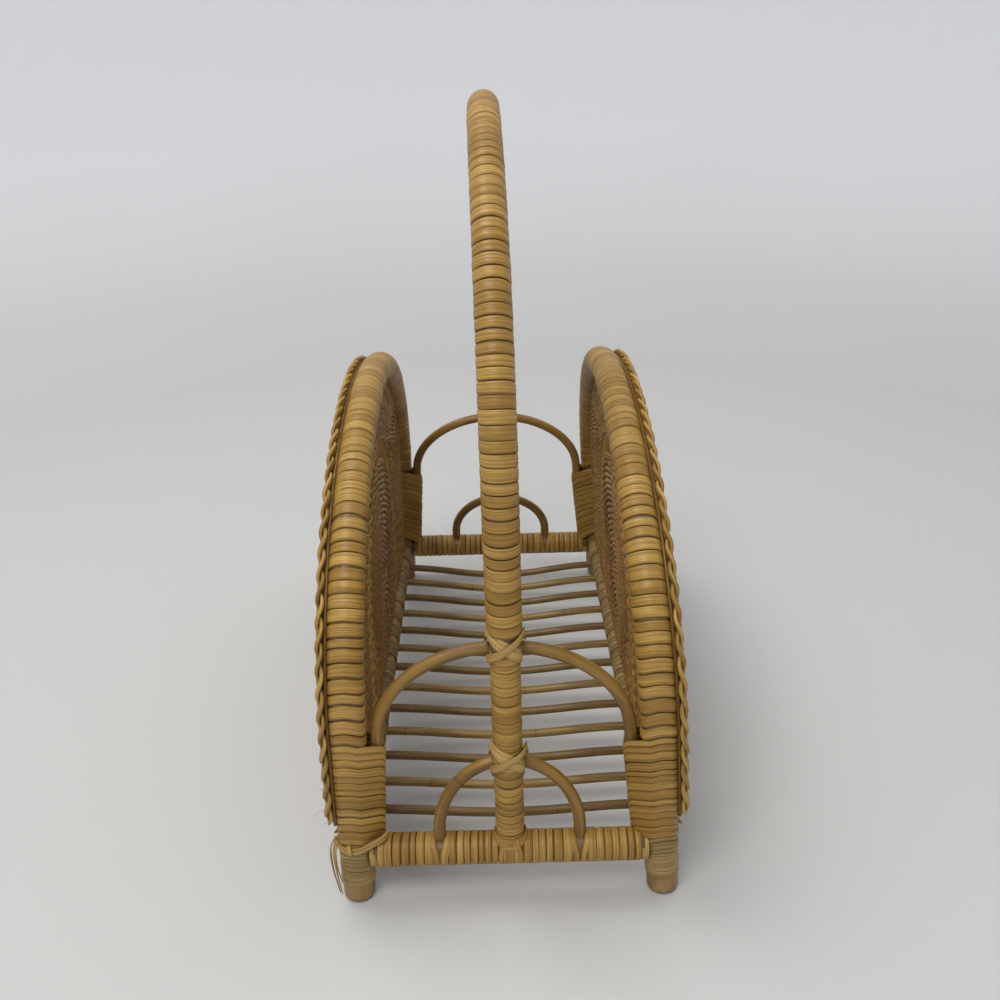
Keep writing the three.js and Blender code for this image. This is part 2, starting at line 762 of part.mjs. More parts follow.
// Plaited edge: a flat plait on a narrow row of stake ends, along the outer face of each hoop.
function buildBraid(side) {
  const seat = bindingReach + gap;
  const plaitFoot = seat + braidStandoff;
  const plaitTop = plaitFoot + braidThickness;
  const shoulder = plaitTop - braidThickness / 3;
  const crownWidth = braidWidth / 2;
  const section = [
    [seat, stakeRowWidth / 2],
    [seat, -stakeRowWidth / 2],
    [plaitFoot, -stakeRowWidth / 2],
    [plaitFoot, -braidWidth / 2],
    [shoulder, -braidWidth / 2],
    [plaitTop, -crownWidth / 2],
    [plaitTop, crownWidth / 2],
    [shoulder, braidWidth / 2],
    [plaitFoot, braidWidth / 2],
    [plaitFoot, stakeRowWidth / 2],
  ];
  const from = frontBraidFoot / hoopLength;
  const to = 1 - backBraidFoot / hoopLength;
  const rings = [];
  for (let step = 0; step <= braidSteps; step += 1) {
    const axes = sectionAxes(hoopCurve, THREE.MathUtils.lerp(from, to, step / braidSteps), alongX, true);
    rings.push(section.map(([out, inward]) => inSection(axes, out, inward)));
  }
  const outline = section.map((corner) => new THREE.Vector2(...corner));
  const endFaces = THREE.ShapeUtils.triangulateShape(outline, []);
  addPiece(`${sideName[side]}_braid`, skin(standRings(side, rings), endFaces), weaveTan);
}

// Bindings of the hoops, legs and feet
function addWinding(wound) {
  leastGap(wound.name, wound.rings, poleSides / 2);
  addPiece(wound.name, skin(wound.rings), reedTan);
}

function addStandingWinding(side, wound) {
  addWinding({ name: wound.name, rings: standRings(side, wound.rings) });
}

// Turns between two heights of the first or the last straight leg of a bow.
function turnsUp(end, length, low, high, turns) {
  return end < 0 ? evenTurns(low, high, turns) : evenTurns(length - high, length - low, turns);
}

const legCore = { x: 0, y: 0, radius: legRadius };
const archEndCore = { x: -archSpringOffset, y: archInset, radius: archRadius };

function buildHoopBindings(side) {
  const name = sideName[side];
  const hoopFoot = legBindingTop + bindingBreak;
  const bow = evenTurns(hoopFoot, hoopLength - hoopFoot, hoopTurns);
  const wind = (windingName, cores, clearance, turns) => {
    addStandingWinding(side, winding(windingName, hoopCurve, alongX, cores, clearance, turns));
  };
  wind(`${name}_hoop_binding`, [legCore], bowClearance, bow);
  for (const end of bothEnds) {
    const corner = `${endName[end]}_${name}`;
    const leg = turnsUp(end, hoopLength, legBindingFoot, legBindingTop, legTurns);
    wind(`${corner}_leg_binding`, [legCore, archEndCore], snugClearance, leg);
    const foot = turnsUp(end, hoopLength, footBindingFoot, footBindingTop, footTurns);
    wind(`${corner}_foot_binding`, [legCore], snugClearance, foot);
  }
}

// Bindings of the handle: one over its bow, one down each post.
function buildHandleBindings() {
  const leaned = (wound) => ({ name: wound.name, rings: wound.rings.map((ring) => ring.map(leanHandle)) });
  const bowCore = { x: 0, y: 0, radius: bowRadius };
  const postCore = { x: 0, y: 0, radius: postRadius };
  const bowFrom = handleBindingFoot - handleFoot;
  const bow = evenTurns(bowFrom, handleLength - bowFrom, handleTurns);
  addWinding(leaned(winding('handle_binding', handleCurve, alongX, [bowCore], bowClearance, bow)));
  for (const end of bothEnds) {
    const [low, high] = [postBindingFoot - handleFoot, postBindingTop - handleFoot];
    const post = turnsUp(end, handleLength, low, high, postTurns);
    const name = `${endName[end]}_post_binding`;
    addWinding(leaned(winding(name, handleCurve, alongX, [postCore], snugClearance, post)));
  }
}

// Bindings of the end rails: one each side of the post, whose turns part round the foot of the inner arch.
function buildEndRailBindings(end) {
  const railCore = { x: 0, y: 0, radius: endRailRadius };
  const postAt = handleCentre(handleFoot);
  const y = (end * endSpacing) / 2;
  for (const side of bothSides) {
    const outerEnd = side < 0 ? endRailLeft : endRailRight;
    const start = new THREE.Vector3(outerEnd - side * bindingBreak, y, railHeight);
    const finish = new THREE.Vector3(postAt + side * (postBindingReach + bindingBreak), y, railHeight);
    const line = new THREE.LineCurve3(start, finish);
    const archPlace = Math.abs(start.x) - innerArchSpan / 2;
    const room = archRadius + gap;
    const turns = partedTurns(line.getLength(), archPlace, room, railTurnsToArch, railTurnsPastArch);
    const name = `${endName[end]}_${sideName[side]}_rail_binding`;
    addWinding(winding(name, line, alongZ, [railCore], snugClearance, turns));
  }
}

// Lashings: one strip crosses itself in front of the post and passes behind the arch on both sides of it.
function buildLashing(name, end, archHeight, lift, postReach, arch) {
  const onPost = cornerOf(flatOf(postReach) + lashClearance + lashThickness / 2);
  const overStrip = onPost + lashThickness + reedGap;
  const onArch = cornerOf(flatOf(archRadius) + lashArchClearance + lashThickness / 2);
  const besidePost = postReach + gap + lashWidth / 2;
  const inside = alongY.clone().multiplyScalar(-end);
  const stops = [];
  const addStop = (at, faces) => stops.push({ at, faces });

  // A stop on the arch beside the post, its angle counted from above over the back.
  const archStop = (side, degrees) => {
    const turn = Math.acos((-side * besidePost) / arch.spread.length());
    const share = arch.legShare + ((1 - 2 * arch.legShare) * turn) / Math.PI;
    const axes = sectionAxes(arch, share, inside, false);
    const up = axes.inward.z > 0 ? axes.inward : axes.inward.negate();
    const angle = THREE.MathUtils.degToRad(degrees);
    const faces = up.multiplyScalar(Math.cos(angle)).addScaledVector(axes.across, Math.sin(angle));
    addStop(axes.point.addScaledVector(faces, onArch), faces);
  };

  // A stop on the post, its angle counted from the right over the front.
  const postStop = (degrees, reach, rise) => {
    const angle = THREE.MathUtils.degToRad(degrees);
    const faces = new THREE.Vector3(Math.cos(angle), end * Math.sin(angle), 0);
    const foot = new THREE.Vector3(handleCentre(archHeight), (end * endSpacing) / 2, archHeight + rise);
    addStop(foot.addScaledVector(faces, reach), faces);
  };

  // A stop half way between the last one and the next, where the strip turns from one pole to the other.
  const between = (addNext) => {
    const last = stops[stops.length - 1];
    addNext();
    const next = stops.pop();
    const at = last.at.clone().lerp(next.at, 1 / 2);
    stops.push({ at, faces: last.faces.clone().add(next.faces).normalize() }, next);
  };

  const facets = THREE.MathUtils.radToDeg(octant);
  const back = 90;
  const pass = (side, reach) => {
    const across = [3.5, 2.5, 1.5, 0.5].map((corner) => facets * corner);
    const rises = [lift + lashRise, lift + lashRise / 2, lift - lashRise, -lashDrop];
    const angles = side < 0 ? across : across.reverse();
    between(() => postStop(angles[0], reach, rises[0]));
    angles.slice(1).forEach((angle, number) => postStop(angle, reach, rises[number + 1]));
    between(() => archStop(-side, 3.5 * facets));
  };
  archStop(-1, back - lashEndGap);
  archStop(-1, facets / 2);
  pass(-1, onPost);
  archStop(1, 2.5 * facets);
  archStop(1, 1.5 * facets);
  archStop(1, facets / 2);
  pass(1, overStrip);
  archStop(-1, back + lashEndGap);
  const rings = strip(stops, lashWidth, lashThickness);
  leastGap(name, rings, poleSides);
  addPiece(name, skin(rings), reedTan);
}

// Straps: one strip passes under the end rail and up both sides of the foot of the post.
function buildStrap(end) {
  const lift = gap + lashThickness / 2;
  const onPost = postRadius + lift;
  const onRail = cornerOf(flatOf(endRailRadius) + lift);
  const strapTop = postBindingFoot - bindingBreak;
  const railTop = railHeight + endRailRadius;
  const x = handleCentre(handleFoot);
  const stops = [];
  const addStop = (y, z, facesY, facesZ) => {
    const at = new THREE.Vector3(x, (end * endSpacing) / 2 + end * y, z);
    stops.push({ at, faces: new THREE.Vector3(0, end * facesY, facesZ) });
  };
  const railCorners = [2.5, 1.5, 0.5, -0.5, -1.5, -2.5];
  addStop(onPost, strapTop, 1, 0);
  addStop(onPost, railTop, 1, 0);
  railCorners.forEach((corner) => {
    const [out, down] = [Math.sin(corner * octant), -Math.cos(corner * octant)];
    addStop(onRail * out, railHeight + onRail * down, out, down);
  });
  addStop(-onPost, railTop, -1, 0);
  addStop(-onPost, strapTop, -1, 0);
  addPiece(`${endName[end]}_post_strap`, skin(strip(stops, strapWidth, lashThickness)), reedTan);
}

// Tie: a doubled strand of reed round the front left leg, under its binding, with two loose ends.
function buildTie() {
  const reach = belt([legCore, archEndCore], snugClearance + reedThickness + gap + tieRadius);
  const front = -endSpacing / 2;
  const outerCorner = poleSides - 1;
  const innerCorner = poleSides / 2 - 1;
  const around = [];
  for (let corner = outerCorner; corner > innerCorner; corner -= 1) {
    around.push(reach[corner]);
  }
  const onLeg = (place, height) => standAt(-1, new THREE.Vector3(place.x, front + place.y, height));
  const tailDrop = tieHeight - tieTailFoot;
  const tailAt = ([outShare, frontShare, dropShare]) => {
    const place = new THREE.Vector2(reach[0].x + tieTailSpread * outShare, -tieTailSpread * frontShare);
    return onLeg(place, tieHeight - tailDrop * dropShare);
  };
  const lowerTailShares = [[0.1, -0.9, 1], [0.5, -0.7, 0.6], [0.5, -0.5, 0.25]];
  const upperTailShares = [[0.8, 1.6, -0.05], [1.1, 2, 0.35], [0.3, 1.8, 0.85]];
  const route = new THREE.CatmullRomCurve3([
    ...lowerTailShares.map(tailAt),
    ...around.map((place) => onLeg(place, tieHeight)),
    ...around.reverse().map((place) => onLeg(place, tieHeight + tieSpacing)),
    ...upperTailShares.map(tailAt),
  ], false, 'centripetal');
  const tieSteps = 32;
  const rings = [];
  let across = alongZ.clone();
  for (let step = 0; step <= tieSteps; step += 1) {
    const axes = sectionAxes(route, step / tieSteps, across, false);
    across = axes.across;
    const ring = [];
    for (let corner = 0; corner < tieSides; corner += 1) {
      const angle = (2 * Math.PI * corner) / tieSides;
      ring.push(inSection(axes, tieRadius * Math.cos(angle), tieRadius * Math.sin(angle)));
    }
    rings.push(ring);
  }
  leastGap('front_left_tie', rings, tieSteps / 4);
  addPiece('front_left_tie', skin(rings), reedTan);
}

for (const side of bothSides) {
  buildHoop(side);
  buildSideRail(side);
  buildPanel(side);
  buildBraid(side);
  buildHoopBindings(side);
}
buildHandle();
buildHandleBindings();
buildSlats();
for (const end of bothEnds) {
  buildEndRail(end);
  buildEndRailBindings(end);
  buildStrap(end);
  const outerArch = outerArchCurve(end);
  const innerArch = innerArchCurve(end);
  buildArch(`${endName[end]}_outer_arch`, outerArch, outerArchSteps);
  buildArch(`${endName[end]}_inner_arch`, innerArch, innerArchSteps);
  const upperName = `${endName[end]}_upper_lashing`;
  const lowerName = `${endName[end]}_lower_lashing`;
  buildLashing(upperName, end, archTop, upperLashLift, bowRadius, outerArch);
  buildLashing(lowerName, end, innerArchTop, lowerLashLift, postBindingReach, innerArch);
}
buildTie();

// The origin stands under the middle of the whole basket.
basket.updateMatrixWorld(true);
const middle = new THREE.Box3().setFromObject(basket).getCenter(new THREE.Vector3());
basket.position.set(-middle.x, -middle.y, 0);

export default basket;
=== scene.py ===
"""Looks of the magazine basket: bent cane bound in flat reed, woven fan sides, plaited edges and a handle.

Lengths are in millimetres and become metres where a mesh is made. Every piece stands in the part's frame.
"""

from __future__ import annotations

import logging
import math
import random
from dataclasses import dataclass, field
from enum import Enum
from typing import Callable, Iterable, Sequence

import bmesh
import bpy
import numpy as np
from mathutils import Matrix, Vector


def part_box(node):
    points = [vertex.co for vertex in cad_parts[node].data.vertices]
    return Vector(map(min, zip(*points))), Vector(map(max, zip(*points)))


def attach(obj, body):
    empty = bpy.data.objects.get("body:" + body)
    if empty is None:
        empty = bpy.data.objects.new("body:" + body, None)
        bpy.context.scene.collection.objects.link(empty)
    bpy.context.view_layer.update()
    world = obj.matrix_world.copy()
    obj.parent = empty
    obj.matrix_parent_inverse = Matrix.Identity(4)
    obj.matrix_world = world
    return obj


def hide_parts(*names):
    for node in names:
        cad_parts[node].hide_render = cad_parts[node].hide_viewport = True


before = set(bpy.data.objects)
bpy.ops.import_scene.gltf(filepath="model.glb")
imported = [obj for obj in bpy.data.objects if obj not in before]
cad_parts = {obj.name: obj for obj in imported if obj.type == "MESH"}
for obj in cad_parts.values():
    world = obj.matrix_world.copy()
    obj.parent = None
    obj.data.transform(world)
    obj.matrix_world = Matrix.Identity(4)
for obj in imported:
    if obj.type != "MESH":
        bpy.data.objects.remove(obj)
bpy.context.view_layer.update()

LOG = logging.getLogger("basket")
METRE = 0.001
TURN = 2.0 * math.pi
UP = np.array([0.0, 0.0, 1.0])
RIGHTWARD = np.array([1.0, 0.0, 0.0])
BACKWARD = np.array([0.0, 1.0, 0.0])
ARC_POINTS = 361
LEG_POINTS = 40

Colour = tuple[float, float, float, float]
Points = Sequence[tuple[float, float, float]]
Socket = bpy.types.NodeSocket


class Side(Enum):
    """The two side hoops, as seen from the front."""

    LEFT = -1
    RIGHT = 1


class End(Enum):
    """The two narrow ends of the basket."""

    FRONT = -1
    BACK = 1


def word(name: Enum) -> str:
    """Gives the lower case word of a side or an end."""
    return name.name.lower()


def shade(code: str) -> Colour:
    """Turns a written colour into linear light.

    Args:
        code: Six hexadecimal digits.

    Returns:
        Red, green, blue and a full alpha.
    """
    parts = [int(code[place : place + 2], 16) / 255 for place in (0, 2, 4)]
    linear = [part / 12.92 if part <= 0.04045 else ((part + 0.055) / 1.055) ** 2.4 for part in parts]
    return (linear[0], linear[1], linear[2], 1.0)


def unit(vectors: np.ndarray) -> np.ndarray:
    """Gives vectors their unit length."""
    return vectors / np.linalg.norm(vectors, axis=-1, keepdims=True)


def ramp(values: np.ndarray | float, low: float, high: float) -> np.ndarray:
    """Rises smoothly from 0 at the low value to 1 at the high one."""
    share = np.clip((np.asarray(values, float) - low) / (high - low), 0.0, 1.0)
    return share * share * (3.0 - 2.0 * share)


def lifted(least: float, share: np.ndarray) -> np.ndarray:
    """Gives shares that start at a least value in place of 0 and still end at 1."""
    return least + (1.0 - least) * share


def turned(first: np.ndarray, second: np.ndarray, degrees: float) -> np.ndarray:
    """Gives the first axis turned by an angle towards the second one."""
    turn = math.radians(degrees)
    return first * math.cos(turn) + second * math.sin(turn)


def reach_of(line: np.ndarray) -> np.ndarray:
    """Gives the length of a line up to each of its points."""
    return np.concatenate([[0.0], np.cumsum(np.linalg.norm(np.diff(line, axis=0), axis=1))])


def points_at(places: np.ndarray, reach: np.ndarray, line: np.ndarray) -> np.ndarray:
    """Gives the points of a line at places, between the reaches of its own points."""
    return np.stack([np.interp(places, reach, column) for column in line.T], axis=-1)


# Routes


@dataclass
class Route:
    """A path measured along its length, with two section axes.

    Attributes:
        table: Close points of the path.
        outward: The way that the first section axis leans to.
        handed: 1 or -1, the side on which the second axis lies.
        reach: Length of the path up to each of its points.
    """

    table: np.ndarray
    outward: np.ndarray
    handed: float = 1.0
    reach: np.ndarray = field(init=False)

    def __post_init__(self) -> None:
        """Measures the path."""
        self.reach = reach_of(self.table)

    @property
    def length(self) -> float:
        """Gives the whole length."""
        return float(self.reach[-1])

    def at(self, places: np.ndarray) -> np.ndarray:
        """Gives the points at places along the path, straight on past its ends."""
        places = np.asarray(places, float)
        first = unit(self.table[1] - self.table[0])
        last = unit(self.table[-1] - self.table[-2])
        before = np.minimum(places, 0.0)[..., None] * first
        after = np.maximum(places - self.length, 0.0)[..., None] * last
        return points_at(places, self.reach, self.table) + before + after

    def axes(self, places: np.ndarray) -> tuple[np.ndarray, np.ndarray, np.ndarray, np.ndarray]:
        """Gives the points, the way along, the first section axis and the second one at places."""
        places = np.asarray(places, float)
        nudge = 1.5
        along = unit(self.at(places + nudge) - self.at(places - nudge))
        lean = (along @ self.outward)[..., None]
        across = unit(self.outward - along * lean)
        inward = np.cross(along, across) * self.handed
        return self.at(places), along, across, inward


def bow_table(foot: Sequence[float], spring: Sequence[float], crown: Sequence[float],
              far_spring: Sequence[float], far_foot: Sequence[float]) -> np.ndarray:
    """Gives close points of a bow of cane.

    Args:
        foot: Where the first straight leg starts.
        spring: Where it turns into the bow.
        crown: The top of the bow, half an ellipse.
        far_spring: Where the bow turns into the second leg.
        far_foot: Where that leg ends.

    Returns:
        Points from foot to foot.
    """
    stops = (foot, spring, crown, far_spring, far_foot)
    first, start, top, finish, last = (np.array(point, float) for point in stops)
    middle = (start + finish) / 2
    turn = np.linspace(0.0, math.pi, ARC_POINTS)[:, None]
    arc = middle + np.cos(turn) * (start - middle) + np.sin(turn) * (top - middle)
    leg = np.linspace(0.0, 1.0, LEG_POINTS)[:, None]
    return np.concatenate([(first + (start - first) * leg)[:-1], arc, (finish + (last - finish) * leg)[1:]])


def smooth(stops: Sequence[Sequence[float]], spans: int = 8) -> np.ndarray:
    """Draws a smooth line through stops.

    Args:
        stops: Points or vectors.
        spans: Steps between two of them.

    Returns:
        Points of the line, the stops among them.
    """
    given = np.array(stops, float)
    padded = np.concatenate([[2 * given[0] - given[1]], given, [2 * given[-1] - given[-2]]])
    line = []
    for number in range(len(given) - 1):
        before, start, finish, after = padded[number : number + 4]
        for share in np.linspace(0.0, 1.0, spans, endpoint=False):
            line.append(0.5 * (2 * start + (finish - before) * share
                               + (2 * before - 5 * start + 4 * finish - after) * share**2
                               + (3 * start - before - 3 * finish + after) * share**3))
    line.append(given[-1])
    return np.array(line)


@dataclass(frozen=True)
class Skeleton:
    """Measures that the sub-assemblies share, and the paths of the bent poles.

    Heights are above the floor, radii are those of bare cane, and spans run from centre line to centre line.

    Attributes:
        leg_spacing: From the left legs to the right ones, on the floor.
        end_spacing: From the front legs to the back ones.
        hoop_spring: Height where a side hoop turns from its leg into its bow.
        hoop_top: Height of its crown.
        left_lean: How far inwards the left hoop leans over that height.
        right_lean: How far inwards the right one leans.
        rail_height: Height of the four rails.
        leg_radius: Radius of a hoop.
        end_rail_radius: Radius of the rails at both ends, with their binding.
        side_rail_radius: Radius of the long rails.
        handle_spring: Height where the handle turns from its post into its bow.
        handle_top: Height of its crown.
        handle_offset: How far right of the middle its feet stand.
        handle_lean: How far left it leans evenly over its height.
        handle_bend: How far left it bends on top of that.
        handle_bend_power: How closely that bend keeps to the crown.
        reed: Thickness of the flat reed.
        arch_radius: Radius of the thin cane of the arches.
        arch_top: Height of the crown of an outer arch.
        arch_spring: Height where it leaves the binding of the legs.
        arch_foot: Height of its ends.
        arch_inset: How far inside the plane of the legs those ends lie.
        arch_foot_offset: From a leg to its end.
        arch_spring_offset: From a leg to the arch where it leaves the binding.
        arch_behind: How far behind the post its crown lies.
        inner_arch_top: Height of the crown of an inner arch.
        inner_arch_span: From foot to foot of it.
        inner_arch_spring: Height where it turns from its legs into its bow.
        inner_arch_foot: Height of its ends in the rail.
        inner_arch_behind: How far behind the post its crown lies.
    """

    leg_spacing: float = 180.0
    end_spacing: float = 392.0
    hoop_spring: float = 110.0
    hoop_top: float = 253.5
    left_lean: float = 4.7
    right_lean: float = 15.0
    rail_height: float = 32.5
    leg_radius: float = 9.2
    end_rail_radius: float = 8.7
    side_rail_radius: float = 7.3
    handle_spring: float = 231.0
    handle_top: float = 424.5
    handle_offset: float = 0.5
    handle_lean: float = 2.6
    handle_bend: float = 2.7
    handle_bend_power: int = 8
    reed: float = 0.9
    arch_radius: float = 3.6
    arch_top: float = 161.5
    arch_spring: float = 110.0
    arch_foot: float = 46.0
    arch_inset: float = 4.0
    arch_foot_offset: float = 12.13
    arch_spring_offset: float = 15.1
    arch_behind: float = 12.1
    inner_arch_top: float = 85.0
    inner_arch_span: float = 81.0
    inner_arch_spring: float = 47.0
    inner_arch_foot: float = 36.2
    inner_arch_behind: float = 12.6

    @property
    def shift(self) -> np.ndarray:
        """Gives the way from these measures to the frame of the part."""
        low, high = (np.array(corner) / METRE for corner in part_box("left_side_rail"))
        middle = (low + high) / 2
        return np.array([middle[0] - self.rail_x(Side.LEFT), middle[1], 0.0])

    def leg_x(self, side: Side, height: float | np.ndarray) -> float | np.ndarray:
        """Gives how far right the centre of a side hoop stands at a height."""
        lean = self.left_lean if side is Side.LEFT else self.right_lean
        return side.value * (self.leg_spacing / 2 - lean * height / self.hoop_top)

    @property
    def half(self) -> float:
        """Gives the distance of the legs from the middle of the basket, along it."""
        return self.end_spacing / 2

    def rail_x(self, side: Side) -> float:
        """Gives how far right the centre of a side hoop stands at the height of the rails."""
        return float(self.leg_x(side, self.rail_height))

    def hoop(self, side: Side) -> Route:
        """Gives the path of a side hoop, from its front foot to its back foot."""
        heights = (0.0, self.hoop_spring, self.hoop_top, self.hoop_spring, 0.0)
        lengths = (-self.half, -self.half, 0.0, self.half, self.half)
        stops = [(self.leg_x(side, height), length, height) for height, length in zip(heights, lengths)]
        return Route(bow_table(*stops), side.value * RIGHTWARD, float(side.value))

    def handle_x(self, height: float | np.ndarray) -> float | np.ndarray:
        """Gives how far right the handle stands at a height: it leans left, and bends left near its crown."""
        share = height / self.handle_top
        bend = self.handle_bend * share**self.handle_bend_power
        return self.handle_offset - self.handle_lean * share - bend

    @property
    def handle_foot(self) -> float:
        """Gives the height at which the handle stands on the end rails."""
        return self.rail_height + self.end_rail_radius

    def handle(self) -> Route:
        """Gives the path of the handle, from its front foot to its back foot."""
        foot, spring = self.handle_foot, self.handle_spring
        heights = (foot, spring, self.handle_top, spring, foot)
        lengths = (-self.half, -self.half, 0.0, self.half, self.half)
        table = bow_table(*((0.0, length, height) for height, length in zip(heights, lengths)))
        table[:, 0] = self.handle_x(table[:, 2])
        return Route(table, RIGHTWARD)

    def outer_arch(self, end: End) -> Route:
        """Gives the path of the arch that is bound to both legs of an end."""
        plane = end.value * (self.half - self.arch_inset)
        foot, spring = {}, {}
        for side in Side:
            foot[side] = self.leg_x(side, self.arch_foot) - side.value * self.arch_foot_offset
            spring[side] = self.leg_x(side, self.arch_spring) - side.value * self.arch_spring_offset
        crown = (spring[Side.LEFT] + spring[Side.RIGHT]) / 2
        stops = [
            (foot[Side.LEFT], plane, self.arch_foot),
            (spring[Side.LEFT], plane, self.arch_spring),
            (crown, end.value * (self.half - self.arch_behind), self.arch_top),
            (spring[Side.RIGHT], plane, self.arch_spring),
            (foot[Side.RIGHT], plane, self.arch_foot),
        ]
        return Route(bow_table(*stops), -end.value * BACKWARD)

    def inner_arch(self, end: End) -> Route:
        """Gives the path of the small arch that stands in the rail of an end."""
        plane = end.value * self.half
        reach = self.inner_arch_span / 2
        stops = [
            (-reach, plane, self.inner_arch_foot),
            (-reach, plane, self.inner_arch_spring),
            (0.0, end.value * (self.half - self.inner_arch_behind), self.inner_arch_top),
            (reach, plane, self.inner_arch_spring),
            (reach, plane, self.inner_arch_foot),
        ]
        return Route(bow_table(*stops), -end.value * BACKWARD)


BASKET = Skeleton()


@dataclass(frozen=True)
class Seeds:
    """Where the random draws of each kind of piece start; side and end are added to them.

    Attributes:
        hoop: Poles of the side hoops.
        bow: Their bindings, over the seed of the hoop.
        leg: Bindings of the legs, over the seed of the hoop.
        foot: Bindings of the feet, over the seed of the hoop.
        corner: Step from the front corner of a hoop to the back one.
        handle: Pole of the handle.
        handle_bow: Binding of its bow.
        post: Bindings of its posts.
        arch: Arches.
        end_rail: Poles of the end rails.
        end_rail_wrap: Bindings of the end rails.
        end_rail_edges: Breadths of their turns.
        side_rail: Poles of the side rails.
        side_rail_wrap: Bindings of the side rails.
        slat: Slats of the floor.
        panel: Woven sides.
        plait: Plaits.
    """

    hoop: int = 20
    bow: int = 40
    leg: int = 100
    foot: int = 140
    corner: int = 7
    handle: int = 5
    handle_bow: int = 11
    post: int = 31
    arch: int = 60
    end_rail: int = 71
    end_rail_wrap: int = 81
    end_rail_edges: int = 810
    side_rail: int = 90
    side_rail_wrap: int = 95
    slat: int = 300
    panel: int = 500
    plait: int = 700


SEEDS = Seeds()


# Node formulas


class Term:
    """One value of a formula; sums and products of terms make nodes."""

    def __init__(self, formula: "Formula", socket: Socket) -> None:
        """Keeps the tree of the value and its socket."""
        self.formula = formula
        self.socket = socket

    def _with(self, operation: str, *others: object) -> "Term":
        """Makes the node that joins this value with others."""
        return self.formula.join(operation, self, *others)

    def __add__(self, other: object) -> "Term":
        """Adds."""
        return self._with("ADD", other)

    def __sub__(self, other: object) -> "Term":
        """Subtracts."""
        return self._with("SUBTRACT", other)

    def __mul__(self, other: object) -> "Term":
        """Multiplies."""
        return self._with("MULTIPLY", other)


class Formula:
    """Writes the nodes of one tree."""

    def __init__(self, tree: bpy.types.NodeTree) -> None:
        """Keeps the tree."""
        self.tree = tree

    def add(self, kind: str, **settings: object) -> bpy.types.Node:
        """Adds one node.

        Args:
            kind: Its type name.
            settings: Properties of the node.

        Returns:
            The node.
        """
        node = self.tree.nodes.new(kind)
        for name, value in settings.items():
            setattr(node, name, value)
        return node

    def put(self, socket: Socket, value: object) -> None:
        """Links a term to a socket, or sets the socket's own value."""
        if isinstance(value, Term):
            self.tree.links.new(value.socket, socket)
        else:
            socket.default_value = value

    def fed(self, kind: str, feeds: dict[str | int, object], outlet: str | int = 0,
            **settings: object) -> Term:
        """Adds one node with fed sockets.

        Args:
            kind: Its type name.
            feeds: Values by the name or number of the socket.
            outlet: The socket that the result is read from.
            settings: Properties of the node.

        Returns:
            The result.
        """
        node = self.add(kind, **settings)
        for key, value in feeds.items():
            self.put(node.inputs[key], value)
        return Term(self, node.outputs[outlet])

    def join(self, operation: str, *values: object) -> Term:
        """Joins numbers or vectors with one operation."""
        vectors = [isinstance(value, Term) and value.socket.type == "VECTOR" for value in values]
        if not any(vectors):
            return self.fed("ShaderNodeMath", dict(enumerate(values)), operation=operation)
        if operation == "MULTIPLY" and not all(vectors):
            stretched, factor = (values[0], values[1]) if vectors[0] else (values[1], values[0])
            return self.fed("ShaderNodeVectorMath", {0: stretched, "Scale": factor}, operation="SCALE")
        return self.fed("ShaderNodeVectorMath", dict(enumerate(values)), operation=operation)

    def vector(self, x: object, y: object, z: object) -> Term:
        """Makes a vector of three numbers."""
        return self.fed("ShaderNodeCombineXYZ", {0: x, 1: y, 2: z})

    def parts(self, vector: Term) -> tuple[Term, Term, Term]:
        """Takes a vector apart."""
        node = self.add("ShaderNodeSeparateXYZ")
        self.put(node.inputs[0], vector)
        return tuple(Term(self, outlet) for outlet in node.outputs)

    def between(self, low: Term, high: Term, share: Term) -> Term:
        """Gives the value between two others."""
        return low + (high - low) * share

    def ranged(self, value: Term, span: tuple[float, float], results: tuple[object, object] = (0.0, 1.0),
               **settings: object) -> Term:
        """Stretches a span of values over a span of results.

        Args:
            value: The value.
            span: Its lowest and highest number.
            results: What they become.
            settings: Properties of the node.

        Returns:
            The result.
        """
        feeds = {"Value": value, 1: span[0], 2: span[1], 3: results[0], 4: results[1]}
        return self.fed("ShaderNodeMapRange", feeds, **settings)

    def mix(self, share: Term, low: object, high: object) -> Term:
        """Mixes two colours."""
        node = self.add("ShaderNodeMix", data_type="RGBA")
        for place, value in ((0, share), (6, low), (7, high)):
            self.put(node.inputs[place], value)
        return Term(self, node.outputs[2])


SOCKETS = {float: "NodeSocketFloat", int: "NodeSocketInt", "geometry": "NodeSocketGeometry",
           "material": "NodeSocketMaterial"}


def new_tree(name: str, kind: str, inputs: dict[str, object],
             outputs: dict[str, object]) -> tuple[Formula, dict[str, Term], bpy.types.Node]:
    """Starts a node tree with named inputs and outputs.

    Args:
        name: Name of the tree.
        kind: Type of the tree.
        inputs: Kind of every input, or its plain number, by name.
        outputs: Kind of every output by name.

    Returns:
        The formula writer, the inputs as terms, and the output node.
    """
    tree = bpy.data.node_groups.new(name, kind)
    for label, given in inputs.items():
        socket_type = SOCKETS.get(given) or SOCKETS[type(given)]
        socket = tree.interface.new_socket(name=label, in_out="INPUT", socket_type=socket_type)
        if not isinstance(given, str):
            socket.default_value = given
    for label, given in outputs.items():
        tree.interface.new_socket(name=label, in_out="OUTPUT", socket_type=SOCKETS[given])
    formula = Formula(tree)
    source = formula.add("NodeGroupInput")
    terms = {socket.name: Term(formula, socket) for socket in source.outputs if socket.name}
    return formula, terms, formula.add("NodeGroupOutput")


def dressed(formula: Formula, skin: Term, material: Term) -> Term:
    """Smooths a skin, makes it real and gives it its material."""
    smoothed = formula.fed("GeometryNodeSetShadeSmooth", {"Geometry": skin})
    real = formula.fed("GeometryNodeRealizeInstances", {"Geometry": smoothed})
    return formula.fed("GeometryNodeSetMaterial", {"Geometry": real, "Material": material})


